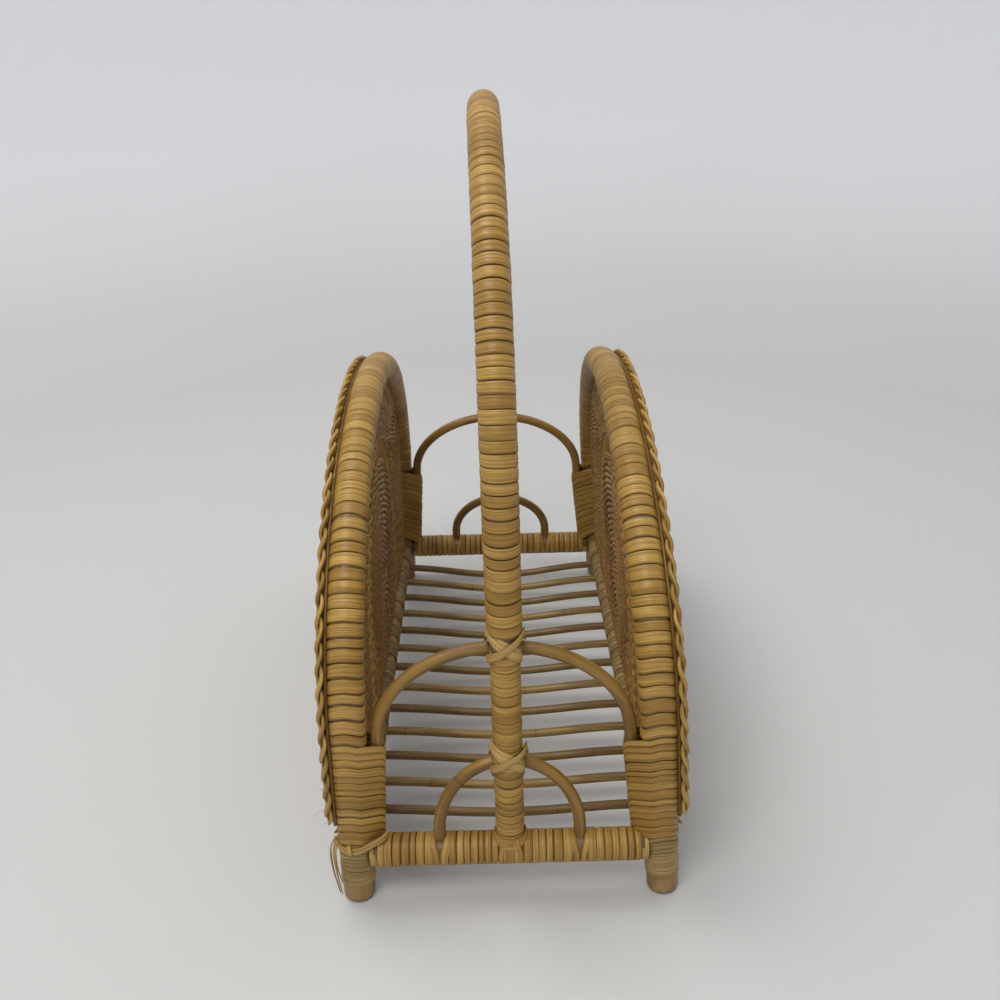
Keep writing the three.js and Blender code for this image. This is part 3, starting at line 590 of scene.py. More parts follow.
@dataclass(frozen=True)
class ReedHabits:
    """How an unbroken strip of flat reed lies round a pole.

    Attributes:
        rim: Corners of its section.
        passed: Share of a turn after which its stop counts as passed, just under a half.
        step: Shares of the way to the next stop between which the strip steps on to it.
        none: Share of a turn that counts as none.
        bulge: Power of the roundness of its section, small for a flat strip with rounded edges.
        drift: Swings of its unevenness in a turn.
        wander: How far it wanders along the pole.
        ripple: How far it rises and sinks.
        swell: Share by which its breadth changes.
        part: Power by which turns that part keep to the outward axis.
        tuck: Share of the droop that a second core adds.
        seam: Power by which the painted shade of the creases between turns keeps to the edges of a strip.
        grain_step: Distance in the grain from one turn to the next.
        weld: Distance within which its ends are closed, in metres.
    """

    rim: int = 7
    passed: float = 0.4999
    step: tuple[float, float] = (0.08, 0.92)
    none: float = 0.0001
    bulge: float = 0.3
    drift: float = 0.9
    wander: float = 0.25
    ripple: float = 0.1
    swell: float = 0.12
    part: float = 1.4
    tuck: float = 0.7
    seam: float = 6.0
    grain_step: float = 3.7
    weld: float = 0.000002


def winding_tree(habits: ReedHabits) -> bpy.types.NodeTree:
    """Makes the tree that winds one unbroken strip of flat reed round the stops of its turns.

    Args:
        habits: How the strip lies.

    Returns:
        The tree. It reads place, axes, width, lift and tone of every turn from the points it is given.
    """
    inputs = {"Stops": "geometry", "Core Radius": BASKET.leg_radius, "Reed Thickness": BASKET.reed,
              "Steps": 24, "Phase": 0.0, "Seed": 0.0, "Reed": "material"}
    formula, given, out = new_tree("Reed winding", "GeometryNodeTree", inputs, {"Strip": "geometry"})
    stops = given["Stops"]
    size = formula.add("GeometryNodeAttributeDomainSize", component="MESH")
    formula.put(size.inputs[0], stops)
    turns = Term(formula, size.outputs["Point Count"]) * 1.0
    feeds = {"Size X": 1.0, "Size Y": 1.0, "Vertices X": turns * given["Steps"] + 1.0,
             "Vertices Y": habits.rim + 1}
    grid = formula.fed("GeometryNodeMeshGrid", feeds)
    x, y, _ = formula.parts(formula.fed("GeometryNodeInputPosition", {}))
    turn = (x + 0.5) * turns
    passed = formula.join("MAXIMUM", formula.join("FLOOR", turn - habits.passed), 0.0)
    whole = formula.join("MINIMUM", passed, turns - 2.0)
    share = formula.ranged(turn - whole - 0.5, habits.step, interpolation_type="SMOOTHSTEP")
    begun = formula.join("FLOOR", turn + habits.none)
    column = formula.join("ROUND", (y + 0.5) * float(habits.rim))
    rounding = formula.join("MODULO", column, float(habits.rim)) * (math.pi / (habits.rim - 1))
    started = formula.join("GREATER_THAN", turn, habits.none)
    inside = started * formula.join("LESS_THAN", turn, turns - habits.none)
    lateral = formula.join("COSINE", rounding) * -1.0 * inside
    roundness = formula.join("MAXIMUM", formula.join("SINE", rounding), 0.0)
    bulge = formula.join("POWER", roundness, habits.bulge) * inside

    def read(name: str, kind: str) -> Term:
        """Reads one attribute of the turns, between the last stop and the next."""
        value = formula.fed("GeometryNodeInputNamedAttribute", {"Name": name}, data_type=kind)
        ends = []
        for step in (0.0, 1.0):
            feeds = {0: stops, 1: value, 2: whole + step}
            ends.append(formula.fed("GeometryNodeSampleIndex", feeds, data_type=kind, clamp=True))
        return formula.between(ends[0], ends[1], share)

    names = ("position", "along", "across", "inward", "second")
    centre, along, across, inward, second = (read(name, "FLOAT_VECTOR") for name in names)
    wide, lift, tone, seam = (read(name, "FLOAT") for name in ("wide", "lift", "tone", "seam"))
    feeds = {"W": turn * habits.drift + given["Seed"], "Scale": 1.0, "Detail": 1.0}
    noise = formula.fed("ShaderNodeTexNoise", feeds, outlet="Color", noise_dimensions="1D")
    drift, swell, rise = formula.parts(noise)
    angle = turn * -TURN + given["Phase"]
    cosine, sine = formula.join("COSINE", angle), formula.join("SINE", angle)
    second_x, second_y, second_radius = formula.parts(second)
    far = cosine * second_x + sine * second_y + second_radius
    use = formula.join("GREATER_THAN", far, given["Core Radius"])
    radius = formula.between(given["Core Radius"], second_radius, use)
    radial = radius + lift + (rise - 0.5) * habits.ripple + bulge * given["Reed Thickness"]
    section_x = use * second_x + cosine * radial
    section_y = use * second_y + sine * radial
    breadth = wide * ((swell - 0.5) * habits.swell + 1.0)
    facing = formula.join("POWER", formula.join("MAXIMUM", cosine, 0.0), habits.part)
    slope = read("lean", "FLOAT") * cosine - read("droop", "FLOAT") * (cosine * cosine + use * habits.tuck)
    slide = lateral * breadth * 0.5 + (drift - 0.5) * habits.wander + read("aside", "FLOAT") * facing + slope
    spot = across * section_x + inward * section_y + along * slide
    place = centre + spot * METRE
    # Painted shade: the edges of every turn are darkened, each turn by an amount of its own, in place of the
    # shade in the creases between turns.
    edge = formula.join("POWER", formula.join("ABSOLUTE", lateral), habits.seam)
    marks = {
        "run": ("FLOAT", turn * (given["Core Radius"] * TURN)),
        "tone": ("FLOAT", tone),
        "mark": ("FLOAT", edge * seam),
        "section": ("FLOAT_VECTOR", formula.vector(lateral * breadth * 0.5, 0.0, begun * habits.grain_step)),
    }
    marked = grid
    for name, (kind, value) in marks.items():
        feeds = {"Geometry": marked, "Name": name, "Value": value}
        marked = formula.fed("GeometryNodeStoreNamedAttribute", feeds, data_type=kind, domain="POINT")
    moved = formula.fed("GeometryNodeSetPosition", {"Geometry": marked, "Position": place})
    joined = formula.fed("GeometryNodeMergeByDistance", {"Geometry": moved, "Distance": habits.weld})
    formula.put(out.inputs[0], dressed(formula, joined, given["Reed"]))
    return formula.tree


def strand_tree() -> bpy.types.NodeTree:
    """Makes the tree that gives every line a round or a flat oval skin.

    Returns:
        The tree. It reads radius, facing and marks from the points of the lines.
    """
    inputs = {"Lines": "geometry", "Sides": 8, "Flatness": 1.0, "Cane": "material"}
    formula, given, out = new_tree("Cane and strand", "GeometryNodeTree", inputs, {"Skin": "geometry"})
    curve = formula.fed("GeometryNodeMeshToCurve", {0: given["Lines"]})
    facing = formula.fed("GeometryNodeInputNamedAttribute", {"Name": "facing"}, data_type="FLOAT_VECTOR")
    turned = formula.fed("GeometryNodeSetCurveNormal", {"Curve": curve, "Normal": facing}, mode="FREE")
    ring = formula.fed("GeometryNodeCurvePrimitiveCircle", {"Resolution": given["Sides"], "Radius": 1.0},
                       mode="RADIUS")
    spot = formula.fed("GeometryNodeInputPosition", {})
    feeds = {"Geometry": ring, "Name": "section", "Value": spot}
    marked = formula.fed("GeometryNodeStoreNamedAttribute", feeds, data_type="FLOAT_VECTOR", domain="POINT")
    squeezed = formula.fed("GeometryNodeTransform", {"Geometry": marked,
                                                     "Scale": formula.vector(given["Flatness"], 1.0, 1.0)})
    radius = formula.fed("GeometryNodeInputNamedAttribute", {"Name": "radius"}, data_type="FLOAT")
    skin = formula.fed("GeometryNodeCurveToMesh", {"Curve": turned, "Profile Curve": squeezed,
                                                   "Scale": radius * METRE, "Fill Caps": True})
    formula.put(out.inputs[0], dressed(formula, skin, given["Cane"]))
    return formula.tree


# Finishes


def fibre_group() -> bpy.types.NodeTree:
    """Makes the shared grain of cane and reed: streaks along the strand, blotches and its tone.

    Returns:
        The shader group.
    """
    detail, coarseness, contrast = 2.0, 0.55, (0.3, 0.7)
    inputs = {"Across": 1.0, "Along": 0.02, "Blotch Size": 60.0}
    outputs = {"Streak": float, "Blotch": float, "Tone": float, "Mark": float}
    formula, given, out = new_tree("Fibre grain", "ShaderNodeTree", inputs, outputs)
    section = formula.fed("ShaderNodeAttribute", {}, outlet="Vector", attribute_name="section")
    run, tone, mark = (formula.fed("ShaderNodeAttribute", {}, outlet="Fac", attribute_name=name)
                       for name in ("run", "tone", "mark"))
    x, y, z = formula.parts(section)
    place = formula.vector(x * given["Across"] + z, y * given["Across"], run * given["Along"])
    feeds = {"Vector": place, "Scale": 1.0, "Detail": detail, "Roughness": coarseness}
    fine = formula.ranged(formula.fed("ShaderNodeTexNoise", feeds), contrast)
    coordinates = formula.fed("ShaderNodeTexCoord", {}, outlet="Object")
    feeds = {"Vector": coordinates, "Scale": given["Blotch Size"], "Detail": detail}
    blotch = formula.fed("ShaderNodeTexNoise", feeds)
    for outlet, value in {"Streak": fine, "Blotch": blotch, "Tone": tone, "Mark": mark}.items():
        formula.put(out.inputs[outlet], value)
    return formula.tree


def new_material(name: str, write: Callable[[Formula], dict[str, object]]) -> bpy.types.Material:
    """Makes a material with one shader.

    Args:
        name: Its name.
        write: Writes its nodes and gives what the sockets of the shader are fed with.

    Returns:
        The material.
    """
    material = bpy.data.materials.new(name)
    material.use_nodes = True
    tree = material.node_tree
    tree.nodes.clear()
    formula = Formula(tree)
    feeds = write(formula)
    shader = formula.add("ShaderNodeBsdfPrincipled")
    for socket, value in feeds.items():
        formula.put(shader.inputs[socket], value)
    output = formula.add("ShaderNodeOutputMaterial")
    tree.links.new(shader.outputs[0], output.inputs[0])
    return material


@dataclass(frozen=True)
class CaneFinish:
    """Finish of one kind of cane or reed.

    Attributes:
        name: Name of the material.
        pale: Lightest tone.
        deep: Darkest tone.
        grain: Colour of the dark streaks.
        mark: Colour of growth rings and cut ends, and of painted shade at the edges of a strip, in gaps of
            bindings and under the plait.
        streak: Strength of the streaks.
        across: Streaks for each millimetre across the fibres.
        along: Streaks for each millimetre along them.
        rough: Least and greatest roughness.
        relief: Depth of the fibres, in metres.
        mark_strength: How strongly the marks show.
        strand_share: How much of the tone is the strand's own; the rest comes from blotches.
        tone_span: Tones that become the lightest and the darkest one.
        streak_span: Values of the grain between which the dark streaks fade in.
        rough_span: Values of the grain between which the roughness grows.
    """

    name: str
    pale: str
    deep: str
    grain: str
    mark: str
    streak: float
    across: float
    along: float
    rough: tuple[float, float] = (0.34, 0.56)
    relief: float = 0.00016
    mark_strength: float = 0.6
    strand_share: float = 0.7
    tone_span: tuple[float, float] = (0.1, 0.9)
    streak_span: tuple[float, float] = (0.42, 0.6)
    rough_span: tuple[float, float] = (0.3, 0.7)

    def build(self, fibre: bpy.types.NodeTree) -> bpy.types.Material:
        """Makes the material.

        Args:
            fibre: The shared grain.

        Returns:
            The material.
        """

        def write(formula: Formula) -> dict[str, object]:
            """Writes tone, streaks, marks, roughness and relief."""
            group = formula.add("ShaderNodeGroup", node_tree=fibre)
            group.inputs["Across"].default_value = self.across
            group.inputs["Along"].default_value = self.along
            streak, blotch, tone, mark = (Term(formula, group.outputs[name])
                                          for name in ("Streak", "Blotch", "Tone", "Mark"))
            mixed = tone * self.strand_share + blotch * (1.0 - self.strand_share)
            share = formula.ranged(mixed, self.tone_span, interpolation_type="SMOOTHSTEP")
            colour = formula.mix(share, shade(self.pale), shade(self.deep))
            dark = formula.ranged(streak, self.streak_span, (0.0, self.streak))
            colour = formula.mix(dark, colour, shade(self.grain))
            colour = formula.mix(mark * self.mark_strength, colour, shade(self.mark))
            rough = formula.ranged(streak, self.rough_span, self.rough)
            bump = formula.fed("ShaderNodeBump", {"Height": streak, "Strength": 1.0, "Distance": self.relief},
                               invert=True)
            return {"Base Color": colour, "Roughness": rough, "Normal": bump}

        return new_material(self.name, write)


@dataclass(frozen=True)
class NailFinish:
    """Finish of the small steel nails in the ends of the rails.

    Attributes:
        colour: Colour of the bare steel.
        rust: Colour of the rust.
        grain: Size of the spots of rust, as the scale of a noise.
        detail: Detail of that noise.
        rust_span: Its values between which the rust sets in.
        rough: Least and greatest roughness.
    """

    colour: str = "8b8d8f"
    rust: str = "6b4a33"
    grain: float = 900.0
    detail: float = 3.0
    rust_span: tuple[float, float] = (0.5, 0.65)
    rough: tuple[float, float] = (0.3, 0.7)

    def build(self) -> bpy.types.Material:
        """Makes the material."""

        def write(formula: Formula) -> dict[str, object]:
            """Writes rust and roughness."""
            coordinates = formula.fed("ShaderNodeTexCoord", {}, outlet="Object")
            feeds = {"Vector": coordinates, "Scale": self.grain, "Detail": self.detail}
            noise = formula.fed("ShaderNodeTexNoise", feeds)
            stain = formula.ranged(noise, self.rust_span)
            colour = formula.mix(stain, shade(self.colour), shade(self.rust))
            rough = formula.ranged(noise, (0.0, 1.0), self.rough)
            return {"Base Color": colour, "Roughness": rough, "Metallic": 1.0}

        return new_material("nail_steel", write)


class Finish(Enum):
    """The finishes of the basket, each with the slot of the part that it dresses."""

    POLE = ("pole_cane", CaneFinish("pole_cane", "a98954", "866834", "5c421c", "3c280f",
                                    streak=0.5, across=0.55, along=0.012))
    REED = ("flat_reed", CaneFinish("flat_reed", "bf984a", "9a732a", "6b4a17", "49300c",
                                    streak=0.48, across=1.1, along=0.02))
    PALE_REED = ("flat_reed", CaneFinish("pale_reed", "c4a35e", "a47e3c", "785724", "573d17",
                                         streak=0.42, across=1.1, along=0.02))
    GREY_REED = ("flat_reed", CaneFinish("grey_reed", "af935e", "8c703c", "664c22", "4c3815",
                                         streak=0.42, across=1.1, along=0.02))
    ARCH = ("arch_cane", CaneFinish("arch_cane", "a7833d", "7d5c22", "553a12", "422e0e",
                                    streak=0.5, across=0.6, along=0.012))
    SLAT = ("slat_cane", CaneFinish("slat_cane", "a38545", "785c25", "503813", "3c290e",
                                    streak=0.55, across=0.6, along=0.012))
    WEAVE = ("woven_cane", CaneFinish("woven_cane", "bd9048", "92692c", "664618", "452e0e",
                                      streak=0.45, across=0.9, along=0.02))
    PLAIT = ("woven_cane", CaneFinish("plait_cane", "c09a4c", "98722c", "664817", "45320d",
                                      streak=0.5, across=0.8, along=0.02))


# Workshop


@dataclass
class Strand:
    """One line of cane or reed.

    Attributes:
        points: Its middle line.
        radius: Half its breadth, one for the line or one for each point.
        facing: The way that its flat side faces, one or one for each point.
        tone: 0 for pale to 1 for deep, one for the line or one for each point.
        mark: How dark growth rings, cut ends and painted shade are, for each point.
    """

    points: np.ndarray
    radius: float | np.ndarray
    facing: np.ndarray = field(default_factory=lambda: UP.copy())
    tone: float | np.ndarray = 0.5
    mark: float | np.ndarray = 0.0


RUN_STEP = 137.0  # distance in the grain from one strand to the next


def joined_marks(lines: Iterable[Strand]) -> tuple[np.ndarray, list[tuple[int, int]], dict[str, np.ndarray]]:
    """Joins lines into one set of points, edges and attributes.

    Args:
        lines: The strands.

    Returns:
        Points, edges and the attributes of the points by name.
    """
    points, edges, marks = [], [], {name: [] for name in ("radius", "facing", "tone", "mark", "run")}
    start = 0
    for line in lines:
        count = len(line.points)
        points.append(line.points)
        edges += [(start + step, start + step + 1) for step in range(count - 1)]
        for name, value in (("radius", line.radius), ("tone", line.tone), ("mark", line.mark)):
            marks[name].append(np.broadcast_to(value, (count,)))
        marks["facing"].append(np.broadcast_to(line.facing, (count, 3)))
        marks["run"].append(reach_of(line.points) + RUN_STEP * len(points))
        start += count
    return np.concatenate(points), edges, {name: np.concatenate(values) for name, values in marks.items()}


class Workshop:
    """Keeps the trees and finishes, and turns stops and lines into finished pieces."""

    def __init__(self) -> None:
        """Builds the trees and every finish."""
        self.winding = winding_tree(ReedHabits())
        self.strand = strand_tree()
        fibre = fibre_group()
        self.materials = {finish: finish.value[1].build(fibre) for finish in Finish}
        self.nail = NailFinish().build()
        self.shift = BASKET.shift
        self.triangles = 0

    def lay(self, points: np.ndarray, edges: list[tuple[int, int]],
            marks: dict[str, np.ndarray]) -> bpy.types.Object:
        """Lays points and lines with their attributes into the frame of the part.

        Args:
            points: Points in the measures of the basket.
            edges: Pairs of points.
            marks: Numbers or vectors of the points by name.

        Returns:
            The object that carries them.
        """
        mesh = bpy.data.meshes.new("stops")
        mesh.from_pydata(((points + self.shift) * METRE).tolist(), edges, [])
        for name, values in marks.items():
            vector = values.ndim == 2
            attribute = mesh.attributes.new(name, "FLOAT_VECTOR" if vector else "FLOAT", "POINT")
            flat = np.ascontiguousarray(values, np.float32).ravel()
            attribute.data.foreach_set("vector" if vector else "value", flat)
        piece = bpy.data.objects.new("stops", mesh)
        bpy.context.scene.collection.objects.link(piece)
        return piece

    def grow(self, name: str, source: bpy.types.Object, tree: bpy.types.NodeTree, values: dict[str, object],
             finish: Finish, replaced: Sequence[str]) -> bpy.types.Object:
        """Runs a tree over a source and keeps its result as one plain piece.

        Args:
            name: Name of the piece.
            source: Object with the stops or lines.
            tree: The geometry tree.
            values: Values of its inputs by name.
            finish: Finish of the piece.
            replaced: CAD nodes that the piece stands for.

        Returns:
            The piece.
        """
        modifier = source.modifiers.new("make", "NODES")
        modifier.node_group = tree
        keys = {item.name: item.identifier for item in tree.interface.items_tree
                if item.item_type == "SOCKET" and item.in_out == "INPUT"}
        for label, value in values.items():
            modifier[keys[label]] = value
        bpy.context.view_layer.update()
        graph = bpy.context.evaluated_depsgraph_get()
        mesh = bpy.data.meshes.new_from_object(source.evaluated_get(graph), depsgraph=graph)
        source.modifiers.clear()
        bpy.data.objects.remove(source)
        mesh.name = name
        piece = bpy.data.objects.new(name, mesh)
        bpy.context.scene.collection.objects.link(piece)
        mesh.materials.clear()
        mesh.materials.append(self.materials[finish])
        self.face_out(mesh)
        return self.hand_over(piece, replaced)

    @staticmethod
    def face_out(mesh: bpy.types.Mesh) -> None:
        """Turns the faces of closed shells outwards."""
        work = bmesh.new()
        work.from_mesh(mesh)
        bmesh.ops.recalc_face_normals(work, faces=work.faces)
        work.to_mesh(mesh)
        work.free()

    def hand_over(self, piece: bpy.types.Object, replaced: Sequence[str]) -> bpy.types.Object:
        """Fixes a finished piece to the part and reports it."""
        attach(piece, "root")
        if replaced:
            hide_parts(*replaced)
        count = sum(len(face.vertices) - 2 for face in piece.data.polygons)
        self.triangles += count
        LOG.info("%s: %d triangles", piece.name, count)
        return piece

    def strands(self, name: str, lines: Sequence[Strand], finish: Finish, replaced: Sequence[str] = (),
                sides: int = 8, flatness: float = 1.0) -> bpy.types.Object:
        """Makes one piece of round or flat oval strands.

        Args:
            name: Name of the piece.
            lines: The strands.
            finish: Finish of the piece.
            replaced: CAD nodes that the piece stands for.
            sides: Facets round a strand.
            flatness: Thickness as a share of the breadth.

        Returns:
            The piece.
        """
        points, edges, marks = joined_marks(lines)
        values = {"Sides": sides, "Flatness": flatness, "Cane": self.materials[finish]}
        return self.grow(name, self.lay(points, edges, marks), self.strand, values, finish, replaced)


@dataclass
class Winding:
    """A strip of flat reed wound round a pole.

    Attributes:
        route: Path of the pole.
        start: Where the strip starts along the path.
        finish: Where it ends.
        pitch: Mean distance between turns.
        core: Radius of the pole.
        seed: Seed of the unevenness.
        unevenness: Share by which the breadth of turns differs.
        openings: Wide gaps, place along the path and breadth.
        second: Place and radius of a second core beside the first, by place along the path.
        phase: Where the strip steps from turn to turn, in degrees from the outward axis to the inward one.
        thickness: Thickness of the reed.
        steps: Facets of one turn.
    """

    GAPS = (-0.5, -0.4, -0.3, -0.15, 0.0, 0.3)  # between turns, under 0 where they overlap
    TONES = (0.1, 0.9)
    LIFTS = (0.05, 0.22)  # the least rise of a turn over the pole, and how much more it can rise
    SEAMS = (0.2, 1.0)  # how dark the painted shade at the edges of a turn is, before squaring
    NO_CORE = (0.0, 0.0, -1000.0)  # a second core too far off to matter

    route: Route
    start: float
    finish: float
    pitch: float
    core: float
    seed: int
    unevenness: float = 0.1
    openings: Sequence[tuple[float, float]] = ()
    second: Callable[[np.ndarray], np.ndarray] | None = None
    phase: float = 90.0
    thickness: float = BASKET.reed
    steps: int = 24

    def turns(self) -> tuple[np.ndarray, np.ndarray]:
        """Gives the middle and the breadth of every turn, edge to edge but for small gaps."""
        source = random.Random(self.seed)
        count = max(2, round((self.finish - self.start) / self.pitch))
        shares = np.array([1.0 + self.unevenness * source.uniform(-1.0, 1.0) for _ in range(count)])
        gaps = np.array([source.choice(self.GAPS) for _ in range(count)])
        edges = np.concatenate([[0.0], np.cumsum(shares)])
        edges = self.start + (self.finish - self.start) * edges / edges[-1]
        for place, breadth in self.openings:
            number = int(np.clip(np.searchsorted(edges, place) - 1, 0, count - 1))
            gaps[number] = breadth
        middles = (edges[:-1] + edges[1:] - gaps) / 2
        return middles, np.diff(edges) - gaps

    def build(self, shop: Workshop, name: str, finish: Finish, replaced: Sequence[str] = (),
              given: tuple[np.ndarray, np.ndarray] | None = None, aside: np.ndarray | float = 0.0,
              lean: np.ndarray | float = 0.0, droop: np.ndarray | float = 0.0) -> bpy.types.Object:
        """Winds the strip.

        Args:
            shop: The workshop.
            name: Name of the piece.
            finish: Finish of the reed.
            replaced: CAD nodes that it stands for.
            given: Middles and breadths of the turns, in place of even ones.
            aside: How far the turns are pushed along the pole where they face outwards.
            lean: How far the outer side of a turn is ahead of its middle.
            droop: How far both sides of a turn stay behind its middle, and more so round a second core.

        Returns:
            The piece.
        """
        source = random.Random(self.seed + 1)
        middles, breadths = self.turns() if given is None else given
        points, along, across, inward = self.route.axes(middles)
        count = len(middles)
        least, more = self.LIFTS
        second = self.second(middles) if self.second else np.broadcast_to(self.NO_CORE, (count, 3))
        marks = {
            "along": along,
            "across": across,
            "inward": inward,
            "second": second,
            "wide": breadths,
            "lift": np.array([least + more * source.random() ** 2 for _ in range(count)]),
            "tone": np.array([source.uniform(*self.TONES) for _ in range(count)]),
            # Painted shade at the edges of each turn, for the creases between turns.
            "seam": np.array([source.uniform(*self.SEAMS) ** 2 for _ in range(count)]),
        }
        for label, value in (("aside", aside), ("lean", lean), ("droop", droop)):
            marks[label] = np.broadcast_to(value, (count,))
        values = {"Core Radius": self.core, "Reed Thickness": self.thickness, "Steps": self.steps,
                  "Phase": math.radians(self.phase), "Seed": float(self.seed), "Reed": shop.materials[finish]}
        return shop.grow(name, shop.lay(points, [], marks), shop.winding, values, finish, replaced)


FIRST_RING = (0.2, 1.0)  # where the first growth ring lies, as shares of the distance between rings
NEXT_RING = (0.8, 1.3)  # how far the next one lies, likewise
RING_SECTION = 0.8  # from a growth ring to the sections beside it
RING_FADE = 0.9  # distance over which its mark fades
END_SECTIONS = (0.06, 0.2, 0.45, 0.7, 1.0)  # where sections lie on a rounded end, as shares of the rounding
MOST_BLUNT = 0.35  # greatest rounding of an end, as a share of the radius
END_FADE = 1.2  # length of the mark of a cut end, as a share of the rounding
CANE_TONES = (0.3, 0.7)


def cane_line(route: Route, start: float, finish: float, radius: float, seed: int, step: float = 4.0,
              rings: float = 0.0, blunt: float = 1.2) -> Strand:
    """Gives the line of a bare cane with growth rings.

    Args:
        route: Path of the cane.
        start: Where it starts along the path.
        finish: Where it ends.
        radius: Its radius.
        seed: Seed of the places of the growth rings.
        step: Distance between its sections.
        rings: Distance between growth rings, 0 for none.
        blunt: How far its cut ends are rounded.

    Returns:
        The strand.
    """
    source = random.Random(seed)
    places = list(np.arange(start, finish, step)) + [finish]
    knots = []
    if rings:
        knot = start + source.uniform(*FIRST_RING) * rings
        while knot < finish:
            knots.append(knot)
            places += [knot - RING_SECTION, knot, knot + RING_SECTION]
            knot += rings * source.uniform(*NEXT_RING)
    round_off = min(blunt, radius * MOST_BLUNT)
    for share in END_SECTIONS:
        places += [start + round_off * share, finish - round_off * share]
    places = np.unique(np.clip(places, start, finish))
    points, _, across, _ = route.axes(places)
    radii = np.full(len(places), radius)
    from_end = np.minimum(places - start, finish - places)
    fall = 1.0 - np.clip(from_end / round_off, 0.0, 1.0)
    radii -= round_off * (1.0 - np.sqrt(1.0 - fall * fall))
    mark = np.zeros(len(places))
    for knot in knots:
        mark = np.maximum(mark, 1.0 - np.clip(np.abs(places - knot) / RING_FADE, 0.0, 1.0))
    mark = np.maximum(mark, 1.0 - np.clip(from_end / (END_FADE * round_off), 0.0, 1.0))
    return Strand(points, radii, across, source.uniform(*CANE_TONES), mark)


# Sub-assemblies


@dataclass
class SideHoop:
    """A bent pole with its two feet, bound in flat reed.

    Attributes:
        side: Which of the two hoops.
        reed_pitch: Distance between turns over the bow.
        leg_pitch: Distance between turns where the end of the arch is bound in.
        foot_pitch: Distance between turns at the foot.
        leg_from: Height where the binding of the legs starts.
        leg_to: Height where it ends.
        foot_from: Height where the binding of the feet starts.
        foot_to: Height where it ends.
        lean: How much higher a turn stands on the outer side of a leg than in its middle.
        droop: How much lower it lies on both sides than on the front.
        fade: Length of the bow over which both of these fade out.
        lean_fade: Power by which the lean fades.
        droop_fade: Power by which the droop fades.
        cut: How far the feet stop short of the floor.
        blunt: How far they are rounded.
        dark_from: Height from which the pole is painted darker, as painted shade in the gaps of its binding.
        dark_to: Height where that painted shade is full.
        joint: Gap between the bindings of a leg and of the bow.
        openings: Wide gaps in the binding of the bow.
    """

    side: Side
    reed_pitch: float = 6.9
    leg_pitch: float = 4.9
    foot_pitch: float = 2.9
    leg_from: float = 45.0
    leg_to: float = 114.0
    foot_from: float = 13.6
    foot_to: float = 44.9
    lean: float = 0.9
    droop: float = 6.0
    fade: float = 85.0
    lean_fade: int = 6
    droop_fade: float = 1.7
    cut: float = 0.35
    blunt: float = 3.0
    dark_from: float = 24.0
    dark_to: float = 30.0
    joint: float = 0.3
    openings: Sequence[tuple[float, float]] = ()

    def build(self, shop: Workshop) -> None:
        """Builds the pole and all of its bindings."""
        name = word(self.side)
        route = BASKET.hoop(self.side)
        seed = SEEDS.hoop + self.side.value
        pole = cane_line(route, self.cut, route.length - self.cut, BASKET.leg_radius, seed, blunt=self.blunt)
        # Painted shade: above the feet the pole shows only through gaps in its binding, so it is darkened
        # there.
        dark = 0.8 * ramp(pole.points[:, 2], self.dark_from, self.dark_to)
        pole.mark = np.maximum(pole.mark, dark)
        shop.strands(f"{name}_pole", [pole], Finish.POLE, [f"{name}_hoop"], sides=32)
        bow_to = route.length - self.leg_to
        bow = Winding(route, self.leg_to + self.joint, bow_to - self.joint, self.reed_pitch,
                      BASKET.leg_radius, seed + SEEDS.bow, unevenness=0.25, openings=self.openings, steps=32)
        middles, breadths = bow.turns()
        start = np.clip(1.0 - (middles - self.leg_to) / self.fade, 0.0, 1.0)
        finish = np.clip(1.0 - (bow_to - middles) / self.fade, 0.0, 1.0)
        bow.build(shop, f"{name}_hoop_wrap", Finish.REED, [f"{name}_hoop_binding"], (middles, breadths),
                  lean=self.lean * (start**self.lean_fade - finish**self.lean_fade),
                  droop=self.droop * (start**self.droop_fade - finish**self.droop_fade))
        for end in End:
            self.bind_leg(shop, route, end, seed + SEEDS.corner * end.value)

    def leg_span(self, route: Route, end: End, low: float, high: float) -> tuple[float, float]:
        """Gives the places along the path between two heights of a leg."""
        return (low, high) if end is End.FRONT else (route.length - high, route.length - low)

    def bind_leg(self, shop: Workshop, route: Route, end: End, seed: int) -> None:
        """Binds the end of the arch to the leg, and the foot below the rails."""
        corner = f"{word(end)}_{word(self.side)}"

        def arch_end(places: np.ndarray) -> np.ndarray:
            """Gives where the end of the arch lies beside the leg."""
            heights = places if end is End.FRONT else route.length - places
            low, high = BASKET.arch_foot_offset, BASKET.arch_spring_offset
            share = np.clip((heights - BASKET.arch_foot) / (BASKET.arch_spring - BASKET.arch_foot), 0.0, 1.1)
            offset = low + (high - low) * share
            ones = np.ones(len(places))
            return np.stack([-offset, BASKET.arch_inset * ones, BASKET.arch_radius * ones], axis=1)

        start, finish = self.leg_span(route, end, self.leg_from, self.leg_to)
        leg = Winding(route, start, finish, self.leg_pitch, BASKET.leg_radius, seed + SEEDS.leg,
                      unevenness=0.32, second=arch_end, steps=32)
        way = 1.0 if end is End.FRONT else -1.0
        leg.build(shop, f"{corner}_leg_wrap", Finish.REED, [f"{corner}_leg_binding"], lean=way * self.lean,
                  droop=way * self.droop)
        start, finish = self.leg_span(route, end, self.foot_from, self.foot_to)
        foot = Winding(route, start, finish, self.foot_pitch, BASKET.leg_radius, seed + SEEDS.foot,
                       unevenness=0.3, thickness=0.7)
        middles, breadths = foot.turns()
        heights = middles if end is End.FRONT else route.length - middles
        share = way * (heights - self.foot_from) / (self.foot_to - self.foot_from)
        foot.build(shop, f"{corner}_foot_wrap", Finish.GREY_REED, [f"{corner}_foot_binding"],
                   (middles, breadths), lean=self.lean * share, droop=self.droop * share)


